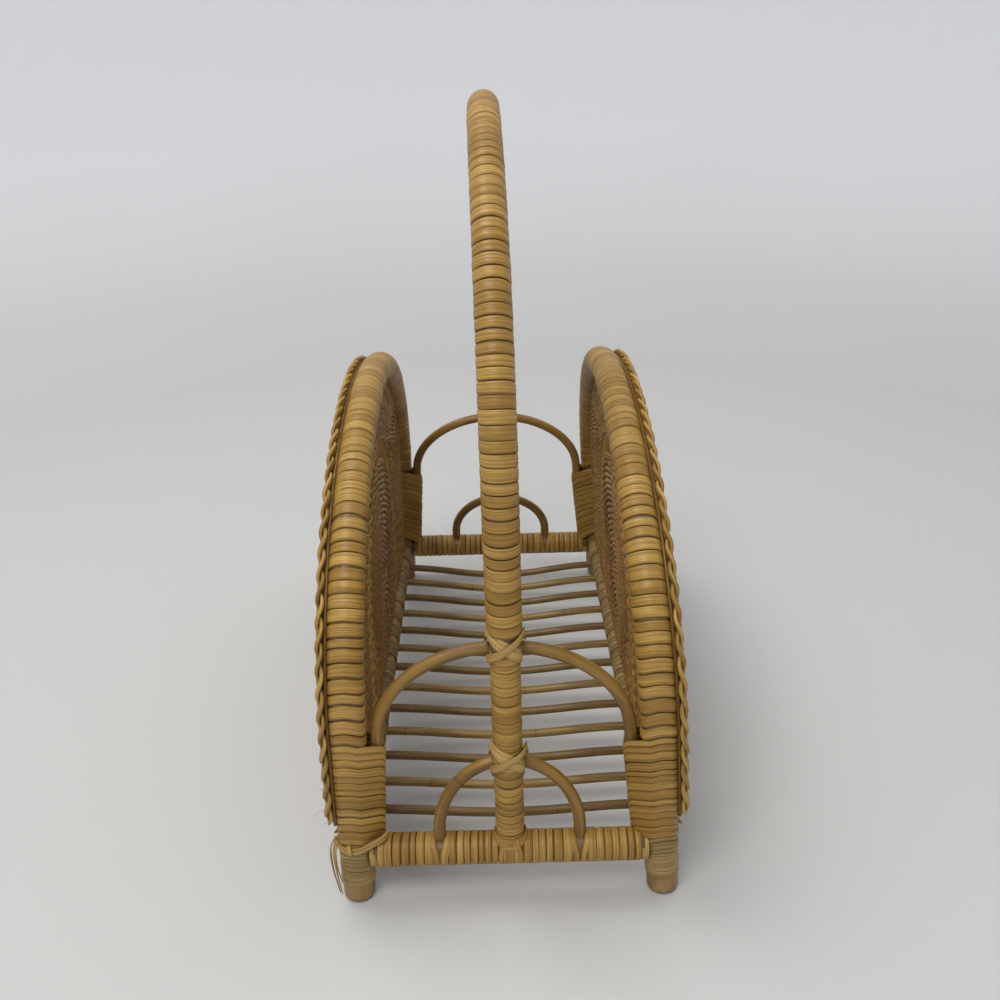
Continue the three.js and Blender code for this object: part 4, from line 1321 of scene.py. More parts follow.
@dataclass
class Handle:
    """The high bow of the handle, its posts bound down to the end rails.

    Attributes:
        bow_radius: Radius of the pole under the binding of the bow.
        post_radius: Radius of the pole under the binding of the posts.
        bow_from: Height where the binding of the bow starts, above the upper crossing.
        post_to: Height where the binding of the posts ends, below that crossing.
        slim_to: Height up to which the pole is as thin as a post.
        reed_pitch: Distance between turns of the bow.
        crowding: Distance between turns of a post, as a share of that.
        joint: Gap between the binding of a post and the end rail.
        slack: How much thinner the pole is drawn than its binding needs.
    """

    bow_radius: float = 8.7
    post_radius: float = 7.35
    bow_from: float = 178.5
    post_to: float = 166.5
    slim_to: float = 158.0
    reed_pitch: float = 6.6
    crowding: float = 0.8
    joint: float = 0.3
    slack: float = 0.1

    def build(self, shop: Workshop) -> None:
        """Builds the pole and its bindings."""
        route = BASKET.handle()
        pole = cane_line(route, 0.0, route.length, self.bow_radius - self.slack, SEEDS.handle)
        rise = ramp(pole.points[:, 2], self.slim_to, self.bow_from)
        bound = self.post_radius + (self.bow_radius - self.post_radius) * rise
        # Painted shade: the whole pole is darkened, for the shaded gaps between and under its bindings.
        pole.mark = 0.7
        pole.radius = pole.radius * bound / self.bow_radius
        shop.strands("handle_pole", [pole], Finish.POLE, ["handle_hoop"], sides=28)
        start = self.bow_from - BASKET.handle_foot
        bow = Winding(route, start, route.length - start, self.reed_pitch, self.bow_radius, SEEDS.handle_bow,
                      unevenness=0.13)
        bow.build(shop, "handle_wrap", Finish.REED, ["handle_binding"])
        top = self.post_to - BASKET.handle_foot
        for end in End:
            low, high = self.joint, top
            if end is End.BACK:
                low, high = route.length - top, route.length - self.joint
            post = Winding(route, low, high, self.reed_pitch * self.crowding, self.post_radius,
                           SEEDS.post + end.value, unevenness=0.25)
            post.build(shop, f"{word(end)}_post_wrap", Finish.REED, [f"{word(end)}_post_binding"])


@dataclass
class EndFrame:
    """One end: its rail, its two arches, their crossings with the post and the strap under the rail.

    Attributes:
        end: Which of the two ends.
        reed_pitch: Distance between turns of the rail.
        leg_room: Distance from the leg centres to the ends of the rail.
        leg_gap: Distance from those ends to the binding.
        post_gap: Distance from the centre of the post to the binding.
        parting: How far the turns part at a foot of the small arch.
        parting_reach: Distance at which they still part, in pitches.
        parting_fade: Power by which they part less with distance.
        step_turn: Where the strip steps from turn to turn, in degrees from the top.
        slack: How much thinner the pole is drawn than its binding needs.
        strip_width: Breadth of the strips of the crossings.
        strip_thickness: Their thickness.
    """

    STRAP_PLACES = (-5.6, -2.9, 0.0, 2.8, 5.4)  # of the strips of the strap, from left to right
    STRAP_ENDS = ((12.0, 8.4), (9.5, 8.7))  # height over the rail and distance from the post
    STRAP_TURNS = (12.0, -16.0, -48.0, -90.0, -132.0, -164.0, -192.0)  # degrees round the rail
    HEMS = ((9.1, 11.5, 1.0), (9.5, 9.9, 3.0))  # radius, height over the rail, and fall before and behind
    CORNER_STRIPS = ((9.2, 10.3, 62.0), (11.2, 11.9, 24.0))  # distances from the leg, degrees at the start

    end: End
    reed_pitch: float = 4.5
    leg_room: float = 9.2
    leg_gap: float = 3.2
    post_gap: float = 6.9
    parting: float = 2.6
    parting_reach: float = 1.45
    parting_fade: float = 1.3
    step_turn: float = -125.0
    slack: float = 0.2
    strip_width: float = 4.8
    strip_thickness: float = 0.8

    @property
    def rail_middle(self) -> np.ndarray:
        """Gives the middle of the rail, between the legs."""
        return np.array([0.0, self.end.value * BASKET.half, BASKET.rail_height])

    @property
    def outside(self) -> np.ndarray:
        """Gives the way out of the basket at this end."""
        return self.end.value * BACKWARD

    def build(self, shop: Workshop) -> None:
        """Builds everything at this end."""
        name = word(self.end)
        self.build_rail(shop, name)
        arches = {"outer": BASKET.outer_arch(self.end), "inner": BASKET.inner_arch(self.end)}
        for number, (label, route) in enumerate(arches.items()):
            seed = SEEDS.arch + number + self.end.value
            cane = cane_line(route, 0.0, route.length, BASKET.arch_radius, seed, rings=95.0)
            shop.strands(f"{name}_{label}_arch_cane", [cane], Finish.ARCH, [f"{name}_{label}_arch"], sides=18)
        crossings = {"upper": Crossing(self.end, BASKET.arch_top, lift=9.6, climb=(7.6, -9.4)),
                     "lower": Crossing(self.end, BASKET.inner_arch_top, lift=14.2, climb=(5.2, -10.2))}
        for label, crossing in crossings.items():
            crossing.build(shop, f"{name}_{label}_lashing", self.strip_width, self.strip_thickness)
        self.build_strap(shop, name)
        self.build_corner_strips(shop, name)

    def build_rail(self, shop: Workshop, name: str) -> None:
        """Builds the rail and winds it on both sides of the post, parting round the small arch."""
        left = BASKET.rail_x(Side.LEFT) + self.leg_room
        right = BASKET.rail_x(Side.RIGHT) - self.leg_room
        route = Route(self.rail_middle + np.outer((left, right), RIGHTWARD), UP)
        seed = SEEDS.end_rail + self.end.value
        pole = cane_line(route, 0.0, route.length, BASKET.end_rail_radius - self.slack, seed)
        # Painted shade: the whole pole is darkened, for the shaded gaps in its binding.
        pole.mark = 0.8
        shop.strands(f"{name}_rail_pole", [pole], Finish.POLE, [f"{name}_end_rail"], sides=24)
        post = float(BASKET.handle_x(BASKET.rail_height)) - left
        for side in Side:
            source = random.Random(SEEDS.end_rail_edges + side.value + 5 * self.end.value)
            arch = side.value * BASKET.inner_arch_span / 2 - left
            outer = self.leg_gap if side is Side.LEFT else route.length - self.leg_gap
            inner = post + side.value * self.post_gap
            low, high = min(outer, inner), max(outer, inner)
            edges = []
            for start, finish in ((low, arch), (arch, high)):
                count = max(1, round((finish - start) / self.reed_pitch))
                shares = np.cumsum([0.0] + [source.uniform(0.75, 1.25) for _ in range(count)])
                edges += list(start + (finish - start) * shares[:-1] / shares[-1])
            edges = np.array(edges + [high])
            gaps = np.array([source.choice((-0.1, 0.1, 0.35)) for _ in range(len(edges) - 1)])
            middles, breadths = (edges[1:] + edges[:-1]) / 2, np.diff(edges) - gaps
            away = middles - arch
            near = np.clip(self.parting_reach - np.abs(away) / self.reed_pitch, 0.0, 1.0)
            aside = np.sign(away) * self.parting * near**self.parting_fade
            rail = Winding(route, low, high, self.reed_pitch, BASKET.end_rail_radius,
                           SEEDS.end_rail_wrap + side.value, phase=self.step_turn)
            label = f"{name}_{word(side)}_rail"
            rail.build(shop, f"{label}_wrap", Finish.REED, [f"{label}_binding"], (middles, breadths), aside)

    def build_strap(self, shop: Workshop, name: str) -> None:
        """Builds the strips that pass under the rail and up both sides of the foot of the post."""
        rail = self.rail_middle + RIGHTWARD * float(BASKET.handle_x(BASKET.rail_height))
        half_breadth, hem_half_breadth, lift, narrowing = 1.5, 1.9, 0.55, 0.72
        lines = []
        for number, sideways in enumerate(self.STRAP_PLACES):
            beside = RIGHTWARD * sideways
            ends = [(reach, UP * height + beside * narrowing) for height, reach in self.STRAP_ENDS]
            stops = [rail + self.outside * reach + off for reach, off in ends]
            faces = [self.outside] * len(ends)
            for degrees in self.STRAP_TURNS:
                facing = turned(self.outside, UP, degrees)
                stops.append(rail + facing * (BASKET.end_rail_radius + lift) + beside)
                faces.append(facing)
            stops += [rail - self.outside * reach + off for reach, off in reversed(ends)]
            faces += [-self.outside] * len(ends)
            tone = 0.35 + 0.15 * (number % 3)
            lines.append(Strand(smooth(stops, 4), half_breadth, unit(smooth(faces, 4)), tone))
        shop.strands(f"{name}_post_foot_strips", lines, Finish.REED, [f"{name}_post_strap"], sides=10,
                     flatness=0.32)
        hems = []
        turn = np.linspace(-TURN / 2, TURN / 2, 49)
        facing = np.outer(np.cos(turn), self.outside) + np.outer(np.sin(turn), RIGHTWARD)
        for reach, height, fall in self.HEMS:
            rise = np.outer(height - fall * np.cos(turn) ** 2, UP)
            hems.append(Strand(rail + facing * reach + rise, hem_half_breadth, facing, 0.45))
        shop.strands(f"{name}_post_hem", hems, Finish.REED, (), sides=10, flatness=0.28)

    def build_corner_strips(self, shop: Workshop, name: str) -> None:
        """Builds the strips that run aslant from the feet over both ends of the rail."""
        half_breadth, lift, last_degrees = 1.25, 0.25, -175.0
        lines = []
        for side in Side:
            inside = -side.value * RIGHTWARD
            leg = self.rail_middle + RIGHTWARD * BASKET.rail_x(side)
            for number, (start, finish, degrees) in enumerate(self.CORNER_STRIPS):
                stops, faces = [], []
                for share in np.linspace(0.0, 1.0, 9):
                    facing = turned(self.outside, UP, degrees + (last_degrees - degrees) * share)
                    place = inside * (start + (finish - start) * share)
                    stops.append(leg + facing * (BASKET.end_rail_radius + lift) + place)
                    faces.append(facing)
                tone = 0.35 + 0.3 * number
                lines.append(Strand(smooth(stops, 3), half_breadth, unit(smooth(faces, 3)), tone))
        shop.strands(f"{name}_corner_strips", lines, Finish.PALE_REED, (), sides=10, flatness=0.3)


@dataclass
class Crossing:
    """Two strips that cross in front of the post and hold an arch against its back.

    Attributes:
        end: Which of the two ends.
        height: Height of the arch behind the post.
        lift: How far over that height the strips cross.
        climb: How far a strip stands over and under the crossing at the sides of the post.
        reach: Radius at which the strips lie on the front of the post.
    """

    end: End
    height: float
    lift: float
    climb: tuple[float, float]
    reach: float = 8.7

    def build(self, shop: Workshop, name: str, width: float, thickness: float) -> None:
        """Builds both strips, and the loose turn under them.

        Args:
            shop: The workshop.
            name: Name of the CAD node that they stand for.
            width: Breadth of a strip.
            thickness: Its thickness.
        """
        lines = [
            self.loop(1.0, over=thickness * 0.85, width=width, tone=0.45),
            self.loop(-1.0, over=0.0, width=width, tone=0.15),
            self.loop(-1.0, over=-0.35, width=width * 0.8, tone=0.05, raised=3.8),
        ]
        shop.strands(name.replace("lashing", "crossing"), lines, Finish.PALE_REED, [name], sides=12,
                     flatness=thickness / width)

    def loop(self, way: float, over: float, width: float, tone: float, raised: float = 0.0) -> Strand:
        """Gives one strip: over the arch, aslant down the front of the post, under the arch and up behind it.

        Args:
            way: 1 where it starts on the right, -1 on the left.
            over: How far it lies over the other strip.
            width: Its breadth.
            tone: Its tone.
            raised: How much higher it crosses the front.

        Returns:
            The strip.
        """
        outside = self.end.value * BACKWARD
        post = np.array([float(BASKET.handle_x(self.height)), self.end.value * BASKET.half, self.height])
        high, low = self.climb
        front = self.lift + raised
        # Degrees round the post, height over the arch, distance from the post, and how far the face tips up.
        table = (
            (-180.0, 0.0, 15.3, 0.0),
            (-152.0, -4.8, 13.6, -1.0),
            (-130.0, -4.0, 10.2, -0.5),
            (-92.0, front + low, 9.0, 0.0),
            (-62.0, front + low * 0.72, self.reach + 0.25, 0.0),
            (-30.0, front + low * 0.36, self.reach, 0.0),
            (0.0, front, self.reach, 0.0),
            (30.0, front + high * 0.42, self.reach + 0.3, 0.0),
            (58.0, front + high * 0.78, self.reach + 0.6, 0.0),
            (80.0, front + high * 0.97, self.reach + 0.9, 0.0),
            (102.0, front * 0.92 + high * 0.85, 10.2, 0.0),
            (126.0, front * 0.55 + high * 0.5, 11.6, 0.3),
            (151.0, 5.0, 14.2, 1.0),
            (180.0, 0.0, 15.3, 0.0),
        )
        stops, faces = [], []
        for degrees, rise, reach, tip in table:
            radial = turned(outside, RIGHTWARD * way, degrees)
            stops.append(post + radial * (reach + over) + UP * rise)
            faces.append(unit(radial * (1.0 - 0.5 * abs(tip)) + UP * tip))
        return Strand(smooth(stops, 5), width / 2, unit(smooth(faces, 5)), tone)


@dataclass
class SideRail:
    """A long rail, bound between the slats.

    Attributes:
        side: Which of the two rails.
        reed_pitch: Distance between turns.
        reed_gap: How much narrower than that a turn is.
        leg_room: Distance from the leg centres to the ends of the rail.
        slat_room: Distance from the centre of a slat to the turns beside it.
        overlap: How far past the ends of the rail its outer bays reach.
    """

    side: Side
    reed_pitch: float = 5.0
    reed_gap: float = 0.15
    leg_room: float = 8.9
    slat_room: float = 3.1
    overlap: float = 1.5

    def build(self, shop: Workshop, slat_places: np.ndarray) -> None:
        """Builds the rail.

        Args:
            shop: The workshop.
            slat_places: Where the slats lie along the basket.
        """
        x = BASKET.rail_x(self.side)
        half = BASKET.half - self.leg_room
        ends = np.array([[x, -half, BASKET.rail_height], [x, half, BASKET.rail_height]])
        route = Route(ends, self.side.value * RIGHTWARD)
        pole = cane_line(route, 0.0, route.length, BASKET.side_rail_radius, SEEDS.side_rail + self.side.value)
        name = word(self.side)
        shop.strands(f"{name}_rail_pole", [pole], Finish.POLE, [f"{name}_side_rail"], sides=20)
        bays = np.concatenate([[-half - self.overlap], slat_places, [half + self.overlap]])
        middles = []
        for low, high in zip(bays[:-1], bays[1:]):
            room = (high - low) - 2 * self.slat_room
            count = max(1, round(room / self.reed_pitch))
            middles += [low + self.slat_room + room * (number + 0.5) / count for number in range(count)]
        places = np.array(middles) + half
        breadths = np.full(len(places), self.reed_pitch - self.reed_gap)
        rail = Winding(route, 0.0, route.length, self.reed_pitch, BASKET.side_rail_radius,
                       SEEDS.side_rail_wrap + self.side.value, phase=0.0, thickness=0.8)
        rail.build(shop, f"{name}_side_rail_wrap", Finish.GREY_REED, (), (places, breadths))


@dataclass
class Floor:
    """The slats of the floor.

    Attributes:
        count: Number of slats.
        inset: From the leg centres to the first and the last slat.
        radius: Radius of a slat.
        drop: How far the left ends of the slats lie under the centre of the side rails.
        tilt: How much lower their right ends lie.
        front_sag: How far the first slat sags.
        back_sag: How far the last slat sags.
        seat: How far inside the centres of the side rails the slats end.
        sections: Points along a slat.
    """

    count: int = 13
    inset: float = 38.0
    radius: float = 2.9
    drop: float = 2.6
    tilt: float = 1.0
    front_sag: float = 4.3
    back_sag: float = 8.5
    seat: float = 4.0
    sections: int = 41

    @property
    def places(self) -> np.ndarray:
        """Gives where the slats lie along the basket."""
        half = BASKET.half - self.inset
        return np.linspace(-half, half, self.count)

    def build(self, shop: Workshop) -> None:
        """Builds every slat with its own sag, growth rings and tone."""
        height = BASKET.rail_height - self.drop
        left = BASKET.rail_x(Side.LEFT) + self.seat
        right = BASKET.rail_x(Side.RIGHT) - self.seat
        share = np.linspace(0.0, 1.0, self.sections)
        for number, y in enumerate(self.places):
            sag = self.front_sag + (self.back_sag - self.front_sag) * number / (self.count - 1)
            drop = sag * (1.0 - np.cos(TURN * share)) / 2
            z = height - self.tilt * share - drop
            table = np.stack([left + (right - left) * share, np.full(self.sections, y), z], axis=1)
            route = Route(table, BACKWARD)
            cane = cane_line(route, 0.0, route.length, self.radius, SEEDS.slat + number, step=5.0, rings=70.0)
            cane.tone = 0.2 if number % 2 else 0.8
            name = f"floor_slat_{number + 1:02d}"
            shop.strands(f"slat_cane_{number + 1:02d}", [cane], Finish.SLAT, [name], sides=14)


@dataclass
class FanPanel:
    """The woven side: a dense fan, a ring of open work where the stakes cross, and a dense outer band.

    Attributes:
        side: Which of the two sides.
        pairs: Pairs of stakes that fan out to the ring.
        weaver: Radius of a weaver.
        stake: Radius of a stake.
        row_pitch: Distance between rows of weaving.
        foot: Height of the lowest edge, on the side rail.
        ring_half_span: Half the breadth of the ring, at its middle line.
        ring_top: Height of that line over the crown.
        ring_spring: Height where its legs turn into its bow.
        ring_half_width: Half the breadth of the open work.
        edge: Distance from the centre line of the hoop to the edge of the weaving.
        hub: How far under the foot the fan has its middle.
        fan_from: Share of the way out at which its first row lies.
        split: From the middle of a pair to each of its stakes, as a share of the pitch of pairs.
        slant: How far a stake runs aside on its way through the ring, in that pitch.
        lattice_stake: Radius of the stakes in the ring, as a share of the others.
        layer: How far those stakes stand out of the plane, as a share of their radius outside the ring.
        twine_swing: How far twined strands swing in the plane.
        twine_lift: How far they swing out of it.
        weave_lift: How far a weaver swings, as a share of the radii of both canes.
    """

    POINTS = 1201  # on an outline
    STARTS = (0.03, 0.42, 0.17, 0.42)  # shares of the way out at which four pairs of stakes in turn start
    ALL_FROM = 0.45  # share of the way out from which a row meets all pairs
    HALF_FROM = 0.2  # share from which it meets every second one
    HUB_STAKES = 12  # pairs that it meets further in
    RING_ENDS = (0.003, 0.997)  # shares of the outlines between which the lattice is drawn
    OVER_HOOP = ((66.0, 11.2), (42.0, 11.3), (22.0, 11.4), (6.0, 11.9))  # degrees round it, and distance
    TURN_BACK = 0.05  # how gently a row gives way where the lines draw close
    DRAWN = 0.4  # share of its breadth from which a row is drawn
    LEFT_OUT = 6  # points of the longest span that isn't drawn

    side: Side
    pairs: int = 46
    weaver: float = 1.1
    stake: float = 0.9
    row_pitch: float = 2.15
    foot: float = 41.2
    ring_half_span: float = 90.0
    ring_top: float = 200.0
    ring_spring: float = 110.0
    ring_half_width: float = 8.6
    edge: float = 10.9
    hub: float = 1.0
    fan_from: float = 0.03
    split: float = 0.11
    slant: float = 1.39
    lattice_stake: float = 0.85
    layer: float = 0.95
    twine_swing: float = 0.75
    twine_lift: float = 1.75
    weave_lift: float = 0.8

    def stand(self, flat: np.ndarray, proud: np.ndarray | float) -> np.ndarray:
        """Stands points of the panel's plane up beside the hoop.

        Args:
            flat: Points along the basket and up.
            proud: How far they stand out of the plane, outwards.

        Returns:
            Points in space.
        """
        x = BASKET.leg_x(self.side, flat[:, 1]) + self.side.value * np.broadcast_to(proud, (len(flat),))
        return np.stack([x, flat[:, 0], flat[:, 1]], axis=1)

    def outline(self, offset: float) -> np.ndarray:
        """Gives the ring's line moved out by an offset, with even steps, along the basket and up."""
        half, rise = self.ring_half_span + offset, self.ring_top - self.ring_spring + offset
        turn = np.linspace(math.pi, 0.0, ARC_POINTS)
        arc = np.stack([half * np.cos(turn), self.ring_spring + rise * np.sin(turn)], axis=1)
        leg = np.linspace(self.foot, self.ring_spring, LEG_POINTS)[:-1]
        left = np.stack([np.full(len(leg), -half), leg], axis=1)
        return self.even(np.concatenate([left, arc, left[::-1] * np.array([-1.0, 1.0])]))

    @classmethod
    def even(cls, line: np.ndarray) -> np.ndarray:
        """Gives a line in even steps."""
        reach = reach_of(line)
        return points_at(np.linspace(0.0, reach[-1], cls.POINTS), reach, line)

    def hoop_outline(self) -> tuple[np.ndarray, np.ndarray]:
        """Gives the edge of the weaving and the places along the hoop that its points belong to."""
        route = BASKET.hoop(self.side)
        places = np.linspace(self.foot, route.length - self.foot, self.POINTS)
        points, _, _, inward = route.axes(places)
        return (points + inward * self.edge)[:, 1:], places

    @staticmethod
    def pick(line: np.ndarray, shares: np.ndarray) -> np.ndarray:
        """Gives the points of an even line at shares of its length."""
        return points_at(np.clip(shares, 0.0, 1.0) * (len(line) - 1), np.arange(len(line)), line)

    def rows(self, low: np.ndarray, high: np.ndarray, stakes: Callable[[float], int], seed: int,
             least: float = 0.0) -> list[Strand]:
        """Weaves rows between two lines; where the lines draw close, short rows turn back.

        Args:
            low: The inner line, in even steps.
            high: The outer line, in even steps.
            stakes: Number of stakes met by a row, by its share between the lines.
            seed: Seed of tones and unevenness.
            least: Share between the lines where the first row lies.

        Returns:
            The weavers.
        """
        source = random.Random(seed)
        way = unit(np.gradient(high, axis=0))
        spread = high - low
        width = np.abs(spread[:, 0] * way[:, 1] - spread[:, 1] * way[:, 0])
        count = int(round(width.max() * (1.0 - least) / self.row_pitch))
        order = np.argsort(np.argsort([self.scattered(row) for row in range(count)])) / count
        keep = np.clip((width[None, :] / width.max() - order[:, None]) / self.TURN_BACK + 0.5, 0.0, 1.0)
        level = (np.cumsum(keep, axis=0) - keep / 2) / keep.sum(axis=0)
        level = lifted(least, level)
        below = np.cumsum(keep, axis=0) - keep
        lines, spots = [], np.linspace(0.0, 1.0, len(width))
        for row in range(count):
            number = stakes(float(level[row].mean()))
            shares = np.linspace(0.0, 1.0, number * 4 + 1)
            heights, kept, under = (np.interp(shares, spots, table[row]) for table in (level, keep, below))
            shown = kept > self.DRAWN
            inner, outer = self.pick(low, shares), self.pick(high, shares)
            flat = inner + (outer - inner) * heights[:, None]
            wave = np.cos(math.pi * (shares * number - 0.5 + under))
            points = self.stand(flat, wave * (self.weaver + self.stake) * self.weave_lift)
            radius = self.weaver * source.uniform(0.9, 1.08)
            tone = source.uniform(0.1, 0.9)
            for start, stop in self.spans(shown):
                lines.append(Strand(points[start:stop], radius, RIGHTWARD, tone))
        return lines

    @staticmethod
    def scattered(number: int) -> float:
        """Gives an evenly scattered share for a row, so that short rows lie among long ones."""
        share, step = 0.0, 0.5
        while number:
            share += step * (number % 2)
            number //= 2
            step /= 2
        return share

    @classmethod
    def spans(cls, shown: np.ndarray) -> list[tuple[int, int]]:
        """Gives the unbroken spans of a mask that are long enough to draw."""
        edges = np.flatnonzero(np.diff(np.concatenate([[0], shown.astype(int), [0]])))
        pairs = zip(edges[::2], edges[1::2])
        return [(int(start), int(stop)) for start, stop in pairs if stop - start > cls.LEFT_OUT]

    def twine(self, line: np.ndarray, seed: int) -> list[Strand]:
        """Gives two strands that twist round the stakes along a line."""
        source = random.Random(seed)
        shares = np.linspace(0.0, 1.0, self.pairs * 10 + 1)
        way = unit(np.gradient(line, axis=0))
        normal = self.pick(np.stack([-way[:, 1], way[:, 0]], axis=1), shares)
        lines = []
        for half in (0.0, math.pi):
            turn = math.pi * shares * self.pairs + half
            flat = self.pick(line, shares) + normal * (self.twine_swing * np.sin(turn))[:, None]
            points = self.stand(flat, np.cos(turn) * self.twine_lift)
            lines.append(Strand(points, self.weaver * 1.05, RIGHTWARD, source.uniform(0.2, 0.5)))
        return lines

    def inner_stakes(self, inner: np.ndarray, centre: np.ndarray) -> list[Strand]:
        """Gives the pairs of stakes from the middle of the foot to the ring."""
        lines = []
        for pair in range(self.pairs):
            start = self.STARTS[pair % len(self.STARTS)]
            for half in (-self.split, self.split):
                share = np.array([(pair + 0.5 + half) / self.pairs])
                finish = self.pick(inner, share)[0]
                way = np.linspace(start, 1.0, 14)[:, None]
                flat = centre + (finish - centre) * way
                lines.append(Strand(self.stand(flat, 0.0), self.stake, RIGHTWARD, 0.5 + half))
        return lines

    def lattice(self, inner: np.ndarray, outer: np.ndarray) -> list[Strand]:
        """Gives the stakes that cross three times in the ring, in two layers."""
        lines = []
        across = np.linspace(0.0, 1.0, 13)
        radius = self.stake * self.lattice_stake
        for pair in range(-2, self.pairs + 2):
            for way in (-1.0, 1.0):
                shares = (pair + 0.5 + way * (self.split + self.slant * across)) / self.pairs
                shown = (shares > self.RING_ENDS[0]) & (shares < self.RING_ENDS[1])
                if shown.sum() < 3:
                    continue
                low, high = self.pick(inner, shares), self.pick(outer, shares)
                flat = low + (high - low) * across[:, None]
                arch = np.sin(np.pi * np.clip(across * 1.2 - 0.1, 0.0, 1.0)) ** 0.3
                points = self.stand(flat, way * self.stake * self.layer * arch)
                lines.append(Strand(points[shown], radius, RIGHTWARD, 0.5 + 0.3 * way))
        return lines

    def outer_stakes(self, outer: np.ndarray, hoop: np.ndarray, places: np.ndarray) -> list[Strand]:
        """Gives the stakes from the ring to the hoop, their ends laid over its outer face under the plait."""
        route = BASKET.hoop(self.side)
        lines = []
        count = self.pairs * 2
        for number in range(count):
            share = np.array([(number + 0.5) / count])
            start, finish = self.pick(outer, share)[0], self.pick(hoop, share)[0]
            flat = start + (finish - start) * np.linspace(0.0, 1.0, 12)[:, None]
            line = self.stand(flat, 0.0)
            place = np.interp(share * (self.POINTS - 1), np.arange(self.POINTS), places)
            point, _, across, inward = (value[0] for value in route.axes(place))
            over = [point + turned(across, inward, degrees) * reach for degrees, reach in self.OVER_HOOP]
            points = np.concatenate([line, np.array(over)])
            lines.append(Strand(points, self.stake, RIGHTWARD, 0.3 + 0.4 * (number % 3) / 2))
        return lines

    def build(self, shop: Workshop) -> None:
        """Weaves the panel in three pieces."""
        name = word(self.side)
        seed = SEEDS.panel + self.side.value
        centre = np.array([0.0, self.foot - self.hub])
        inner, outer = self.outline(-self.ring_half_width), self.outline(self.ring_half_width)
        hoop, places = self.hoop_outline()
        origin = np.broadcast_to(centre, inner.shape)

        def fan_stakes(level: float) -> int:
            """Gives the number of stakes at a share of the way out."""
            if level > self.ALL_FROM:
                return self.pairs
            return self.pairs // 2 if level > self.HALF_FROM else self.HUB_STAKES

        fan = self.inner_stakes(inner, centre) + self.rows(origin, inner, fan_stakes, seed, self.fan_from)
        shop.strands(f"{name}_fan_weave", fan, Finish.WEAVE, [f"{name}_panel"], sides=6)
        band = self.rows(outer, hoop, lambda level: self.pairs * 2, seed + 9)
        shop.strands(f"{name}_band_weave", band, Finish.WEAVE, (), sides=5)
        ring = self.lattice(inner, outer) + self.twine(inner, seed + 3) + self.twine(outer, seed + 5)
        ring += self.outer_stakes(outer, hoop, places)
        shop.strands(f"{name}_ring_stakes", ring, Finish.WEAVE, (), sides=6)


@dataclass
class Plait:
    """The plaited edge that hides the ends of the stakes, on the outer face of a hoop.

    Attributes:
        side: Which of the two hoops.
        front_foot: How far up the front leg it starts.
        back_foot: How far up the back leg it ends.
        period: Length over which a strand swings out and back.
        swing: How far it swings to each side.
        lift: How far it rises and dips.
        seat: Distance from the centre of the hoop to the middle of the plait.
        ply: Half the breadth of one reed.
        plies: Reeds in a strand.
        strands: Strands of the plait.
        step: Distance between its sections.
        taper: Length over which it narrows at both ends.
        lead: By how much the rise of a strand is ahead of its swing, in radians.
        spacing: Distance between the reeds of a strand, in half breadths of one.
        sink: How much deeper than its middle reed its outer ones lie.
        backing: Distance from the centre of the hoop to the dark reeds under the plait, painted shade that
            fills the gap between hoop and plait.
    """

    BACKING_PLACES = (-2.6, 0.0, 2.6)  # of those dark reeds of painted shade, across the plait

    side: Side
    front_foot: float = 54.0
    back_foot: float = 60.0
    period: float = 38.0
    swing: float = 4.2
    lift: float = 1.5
    seat: float = 13.8
    ply: float = 1.45
    plies: int = 3
    strands: int = 3
    step: float = 1.5
    taper: float = 9.0
    lead: float = 0.4
    spacing: float = 1.5
    sink: float = 0.12
    backing: float = 10.7

    def build(self, shop: Workshop) -> None:
        """Plaits three strands, each of several reeds side by side, along the hoop."""
        route = BASKET.hoop(self.side)
        source = random.Random(SEEDS.plait + self.side.value)
        places = np.arange(self.front_foot, route.length - self.back_foot, self.step)
        points, _, across, inward = route.axes(places)
        ends = ramp(np.minimum(places - places[0], places[-1] - places), 0.0, self.taper)
        lines = []
        for strand in range(self.strands):
            turn = TURN * (places - self.front_foot) / self.period + TURN * strand / self.strands
            sway = self.swing * np.sin(turn) * lifted(0.35, ends)
            lift = self.seat + self.lift * np.sin(2 * turn + self.lead)
            middle = points + across * lift[:, None] + inward * sway[:, None]
            way = unit(np.gradient(middle, axis=0))
            facing = unit(across - way * np.sum(across * way, axis=1, keepdims=True))
            aside = np.cross(way, facing)
            for number in range(self.plies):
                beside = number - (self.plies - 1) / 2
                offset = beside * self.ply * self.spacing * lifted(0.45, ends)
                bow = -self.sink * abs(beside)
                line = middle + aside * offset[:, None] + facing * bow
                radius = self.ply * source.uniform(0.9, 1.08) * lifted(0.5, ends)
                lines.append(Strand(line, radius, facing, source.uniform(0.1, 0.9)))
        # Dark reeds under the plait, at full tone and mark: painted shade for the gap between the hoop and
        # the plait.
        for sideways in self.BACKING_PLACES:
            line = points + across * self.backing + inward * sideways
            lines.append(Strand(line, self.ply, across, tone=1.0, mark=1.0))
        name = word(self.side)
        shop.strands(f"{name}_plait", lines, Finish.PLAIT, [f"{name}_braid"], sides=8, flatness=0.8)


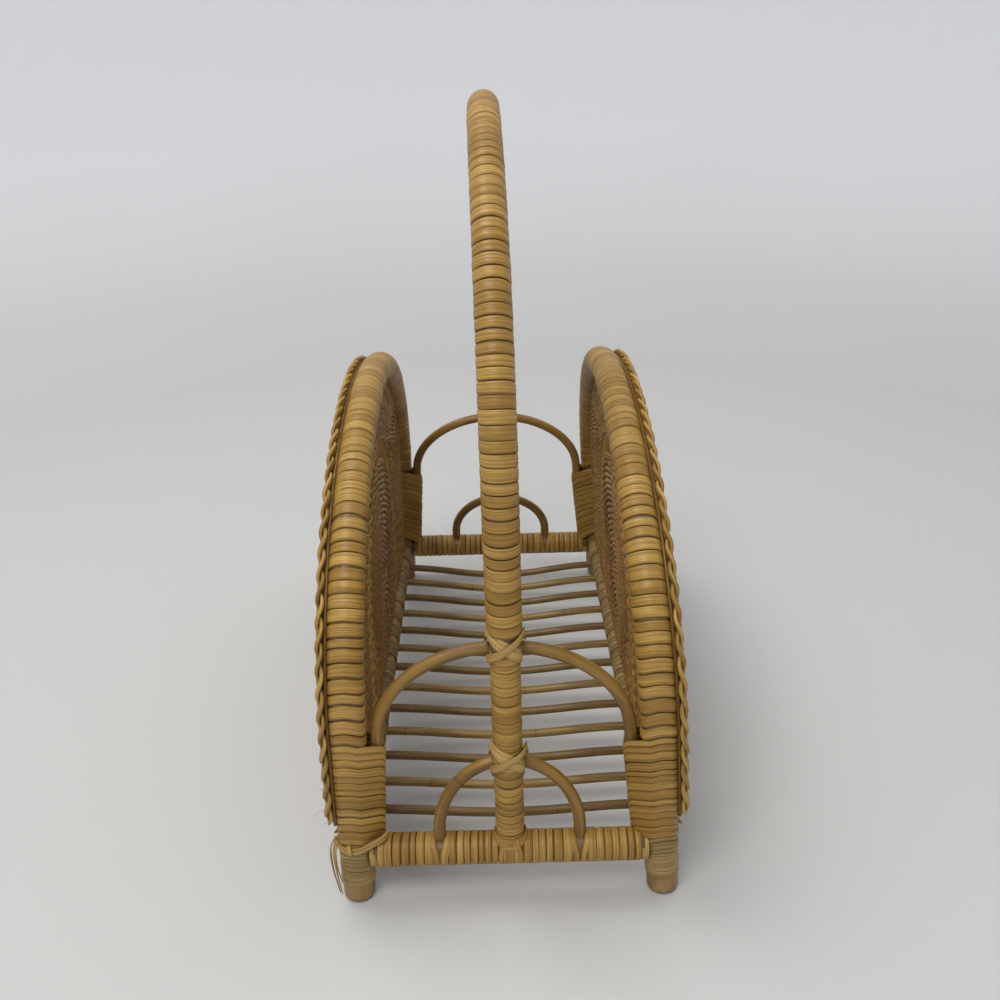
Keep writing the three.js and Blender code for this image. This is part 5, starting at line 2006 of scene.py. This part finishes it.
@dataclass
class Tie:
    """The doubled strand round the front left leg, with its loose ends and wisps.

    Attributes:
        height: Height of the lower strand.
        spacing: Distance to the upper one.
        strand: Radius of a strand.
        reach: Half the breadth of a turn round the leg.
        depth: Half its depth.
        bulge: How much further it reaches to the right, round the rail.
        rise: How much higher it lies there.
        knot: Points of the knot, from the middle of the leg and up from the floor.
        tails: Points of the loose ends, likewise.
        wisps: Points of the frayed fibres, likewise.
    """

    height: float = 40.4
    spacing: float = 2.1
    strand: float = 1.1
    reach: float = 10.6
    depth: float = 10.9
    bulge: float = 7.6
    rise: float = 3.6
    knot: Points = ((-2.6, -11.2, 46.0), (-2.2, -12.6, 44.0), (-1.8, -12.8, 41.5), (-1.6, -11.4, 39.6))
    tails: Sequence[Points] = (
        ((-11.2, -2.5, 44.0), (-12.9, -3.5, 36.0), (-12.2, -5.0, 22.0), (-9.8, -7.0, 6.5)),
        ((-10.6, -4.5, 43.0), (-11.6, -6.5, 36.0), (-10.9, -7.5, 26.0), (-8.6, -8.2, 15.0)),
        ((-11.3, -2.0, 45.0), (-14.6, -3.0, 37.0), (-14.0, -5.0, 24.0), (-10.6, -8.4, 9.0)),
    )
    wisps: Sequence[Points] = (
        ((-12.6, -2.0, 58.0), (-16.0, -2.5, 63.5), (-20.5, -2.0, 62.0), (-24.0, -1.0, 55.0)),
        ((-12.4, -2.5, 55.0), (-15.0, -4.0, 57.0), (-18.5, -4.0, 55.0)),
        ((-13.0, -2.0, 78.0), (-15.5, -2.0, 79.5), (-17.5, -2.5, 78.5)),
    )

    def build(self, shop: Workshop) -> None:
        """Builds the two turns of the tie and the loose ends."""
        leg = np.array([float(BASKET.leg_x(Side.LEFT, self.height)), -BASKET.half, 0.0])
        lines = []
        angles = np.radians(np.linspace(-184.0, -6.0, 60))
        outward = np.stack([np.cos(angles), np.sin(angles), np.zeros(len(angles))], axis=1)
        beyond = ramp(np.cos(angles), 0.3, 1.0)
        reach = self.reach + self.bulge * beyond
        for number in range(2):
            height = self.height + self.spacing * number + self.rise * beyond
            middle = leg + np.stack([reach * np.cos(angles), self.depth * np.sin(angles), height], axis=1)
            lines.append(Strand(middle, self.strand, outward, 0.2 + 0.4 * number))
        lines.append(Strand(leg + smooth(self.knot, 6), 1.2, BACKWARD, 0.3))
        for number, tail in enumerate(self.tails):
            points = leg + smooth(tail)
            lines.append(Strand(points, np.linspace(0.9, 0.4, len(points)), UP, 0.2 + 0.3 * number))
        for wisp in self.wisps:
            points = leg + smooth(wisp)
            lines.append(Strand(points, np.linspace(0.22, 0.1, len(points)), UP, 0.1))
        shop.strands("front_left_tie_strands", lines, Finish.PALE_REED, ["front_left_tie"], sides=7)


@dataclass
class Studio:
    """Pale seamless backdrop, soft lamps and the camera of the photograph.

    Attributes:
        camera_place: Where the camera stands, in the measures of the basket.
        yaw: Its turn to the right, in degrees.
        pitch: Its tilt up.
        roll: Its roll.
        lens: Its focal length.
        sensor: Breadth of its sensor.
        aim: Height that the lamps look at, in metres as all below.
        floor: Distance at which the floor starts to curve up.
        bend: Radius of that curve.
        wall: Height of the wall.
        inner: Distance of the first ring of the floor.
        sides: Facets round the backdrop.
        steps: Facets of the curve.
        paper: Colours of the paper near the basket and far from it; the far one is lighter as painted light
            that makes up for the lamps' falloff.
        paler: Distances between which it pales.
    """

    LAMPS = {  # place, breadth and length, power, colour
        "key": ((-0.65, 0.3, 2.3), (1.0, 1.0), 20.0, (1.0, 0.985, 0.965)),
        "front": ((-0.3, -0.9, 1.45), (0.8, 0.6), 10.5, (1.0, 0.98, 0.95)),
        "top": ((0.7, 0.7, 2.3), (1.4, 1.4), 6.5, (0.97, 0.985, 1.0)),
    }

    camera_place: tuple[float, float, float] = (-2.66, -670.78, 468.81)
    yaw: float = 0.19
    pitch: float = -24.33
    roll: float = -1.39
    lens: float = 37.8
    sensor: float = 36.0
    aim: float = 0.15
    floor: float = 1.5
    bend: float = 0.9
    wall: float = 2.6
    inner: float = 0.75
    sides: int = 96
    steps: int = 16
    paper: tuple[str, str] = ("cdcdcc", "f3f4f6")
    paler: tuple[float, float] = (0.9, 2.1)

    def build(self, shift: np.ndarray) -> None:
        """Builds backdrop, lamps, world and camera."""
        self.build_camera(shift)
        self.build_backdrop()
        self.build_world()
        for name, settings in self.LAMPS.items():
            self.add_lamp(name, *settings)

    def build_camera(self, shift: np.ndarray) -> None:
        """Sets up the camera."""
        yaw, pitch, roll = (math.radians(angle) for angle in (self.yaw, self.pitch, self.roll))
        forward = Vector((math.sin(yaw) * math.cos(pitch), math.cos(yaw) * math.cos(pitch), math.sin(pitch)))
        right = Vector((math.cos(yaw), -math.sin(yaw), 0.0))
        up = right.cross(forward)
        turned_right = right * math.cos(roll) + up * math.sin(roll)
        turned_up = up * math.cos(roll) - right * math.sin(roll)
        camera = bpy.data.objects.new("camera", bpy.data.cameras.new("camera"))
        camera.data.lens = self.lens
        camera.data.sensor_width = self.sensor
        place = Vector((np.array(self.camera_place) + shift) * METRE)
        turn = Matrix((turned_right, turned_up, -forward)).transposed().to_4x4()
        camera.matrix_world = Matrix.Translation(place) @ turn
        bpy.context.scene.collection.objects.link(camera)
        bpy.context.scene.camera = camera

    def build_backdrop(self) -> None:
        """Builds a round floor that curves up into a wall on every side."""
        profile = [(self.inner, 0.0), (self.floor, 0.0)]
        for step in range(1, self.steps + 1):
            turn = math.pi / 2 * step / self.steps
            profile.append((self.floor + self.bend * math.sin(turn), self.bend * (1.0 - math.cos(turn))))
        profile.append((self.floor + self.bend, self.wall))
        vertices = [(0.0, 0.0, 0.0)]
        for reach, height in profile:
            for side in range(self.sides):
                turn = TURN * side / self.sides
                vertices.append((reach * math.cos(turn), reach * math.sin(turn), height))
        faces = [(0, 1 + side, 1 + (side + 1) % self.sides) for side in range(self.sides)]
        for row in range(len(profile) - 1):
            for side in range(self.sides):
                here, after = 1 + row * self.sides + side, 1 + row * self.sides + (side + 1) % self.sides
                faces.append((here, here + self.sides, after + self.sides, after))
        mesh = bpy.data.meshes.new("backdrop")
        mesh.from_pydata(vertices, [], faces)
        for face in mesh.polygons:
            face.use_smooth = True
        backdrop = bpy.data.objects.new("backdrop", mesh)
        bpy.context.scene.collection.objects.link(backdrop)

        def write(formula: Formula) -> dict[str, object]:
            """Writes paper that pales with the distance from the basket, painted light that makes up for the
            falloff of the lamps.
            """
            coordinates = formula.fed("ShaderNodeTexCoord", {}, outlet="Object")
            x, y, _ = formula.parts(coordinates)
            reach = formula.join("SQRT", x * x + y * y)
            noise = formula.fed("ShaderNodeTexNoise", {"Vector": coordinates, "Scale": 1.3})
            # Painted light: the paper pales with distance, where less lamp light falls.
            away = formula.ranged(reach + (noise - 0.5) * 0.2, self.paler)
            near, far = (shade(code) for code in self.paper)
            return {"Base Color": formula.mix(away, near, far), "Roughness": 0.85, "Specular IOR Level": 0.2}

        mesh.materials.append(new_material("paper", write))

    @staticmethod
    def build_world() -> None:
        """Sets a plain pale light all round."""
        world = bpy.data.worlds.new("studio")
        world.use_nodes = True
        background = world.node_tree.nodes["Background"]
        background.inputs["Color"].default_value = (0.93, 0.97, 1.0, 1.0)
        background.inputs["Strength"].default_value = 0.24
        bpy.context.scene.world = world

    def add_lamp(self, name: str, place: Sequence[float], size: tuple[float, float], power: float,
                 colour: Sequence[float]) -> None:
        """Adds a soft lamp that looks at the basket."""
        lamp = bpy.data.lights.new(name, "AREA")
        lamp.shape = "RECTANGLE"
        lamp.size, lamp.size_y = size
        lamp.energy = power
        lamp.color = colour
        holder = bpy.data.objects.new(name, lamp)
        holder.location = place
        holder.visible_camera = False
        holder.rotation_mode = "QUATERNION"
        holder.rotation_quaternion = (Vector((0.0, 0.0, self.aim)) - Vector(place)).to_track_quat("-Z", "Y")
        bpy.context.scene.collection.objects.link(holder)


def main() -> None:
    """Builds the whole basket, then the studio."""
    logging.basicConfig(level=logging.INFO, format="%(name)s %(message)s")
    shop = Workshop()
    floor = Floor()
    hoop_gaps = {Side.LEFT: ((232.0, 1.6), (205.0, 0.7)), Side.RIGHT: ((226.0, 1.1), (176.0, 0.9))}
    for side in Side:
        SideHoop(side, openings=hoop_gaps[side]).build(shop)
        SideRail(side).build(shop, floor.places)
        FanPanel(side).build(shop)
        Plait(side).build(shop)
    Handle().build(shop)
    floor.build(shop)
    for end in End:
        EndFrame(end).build(shop)
    Tie().build(shop)
    for name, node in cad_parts.items():
        if name.endswith("_nail"):
            node.data.materials.clear()
            node.data.materials.append(shop.nail)
    LOG.info("triangles in all: %d", shop.triangles)
    Studio().build(shop.shift)
    bpy.context.scene.view_settings.view_transform = "Standard"


if __name__ == "__main__":
    main()
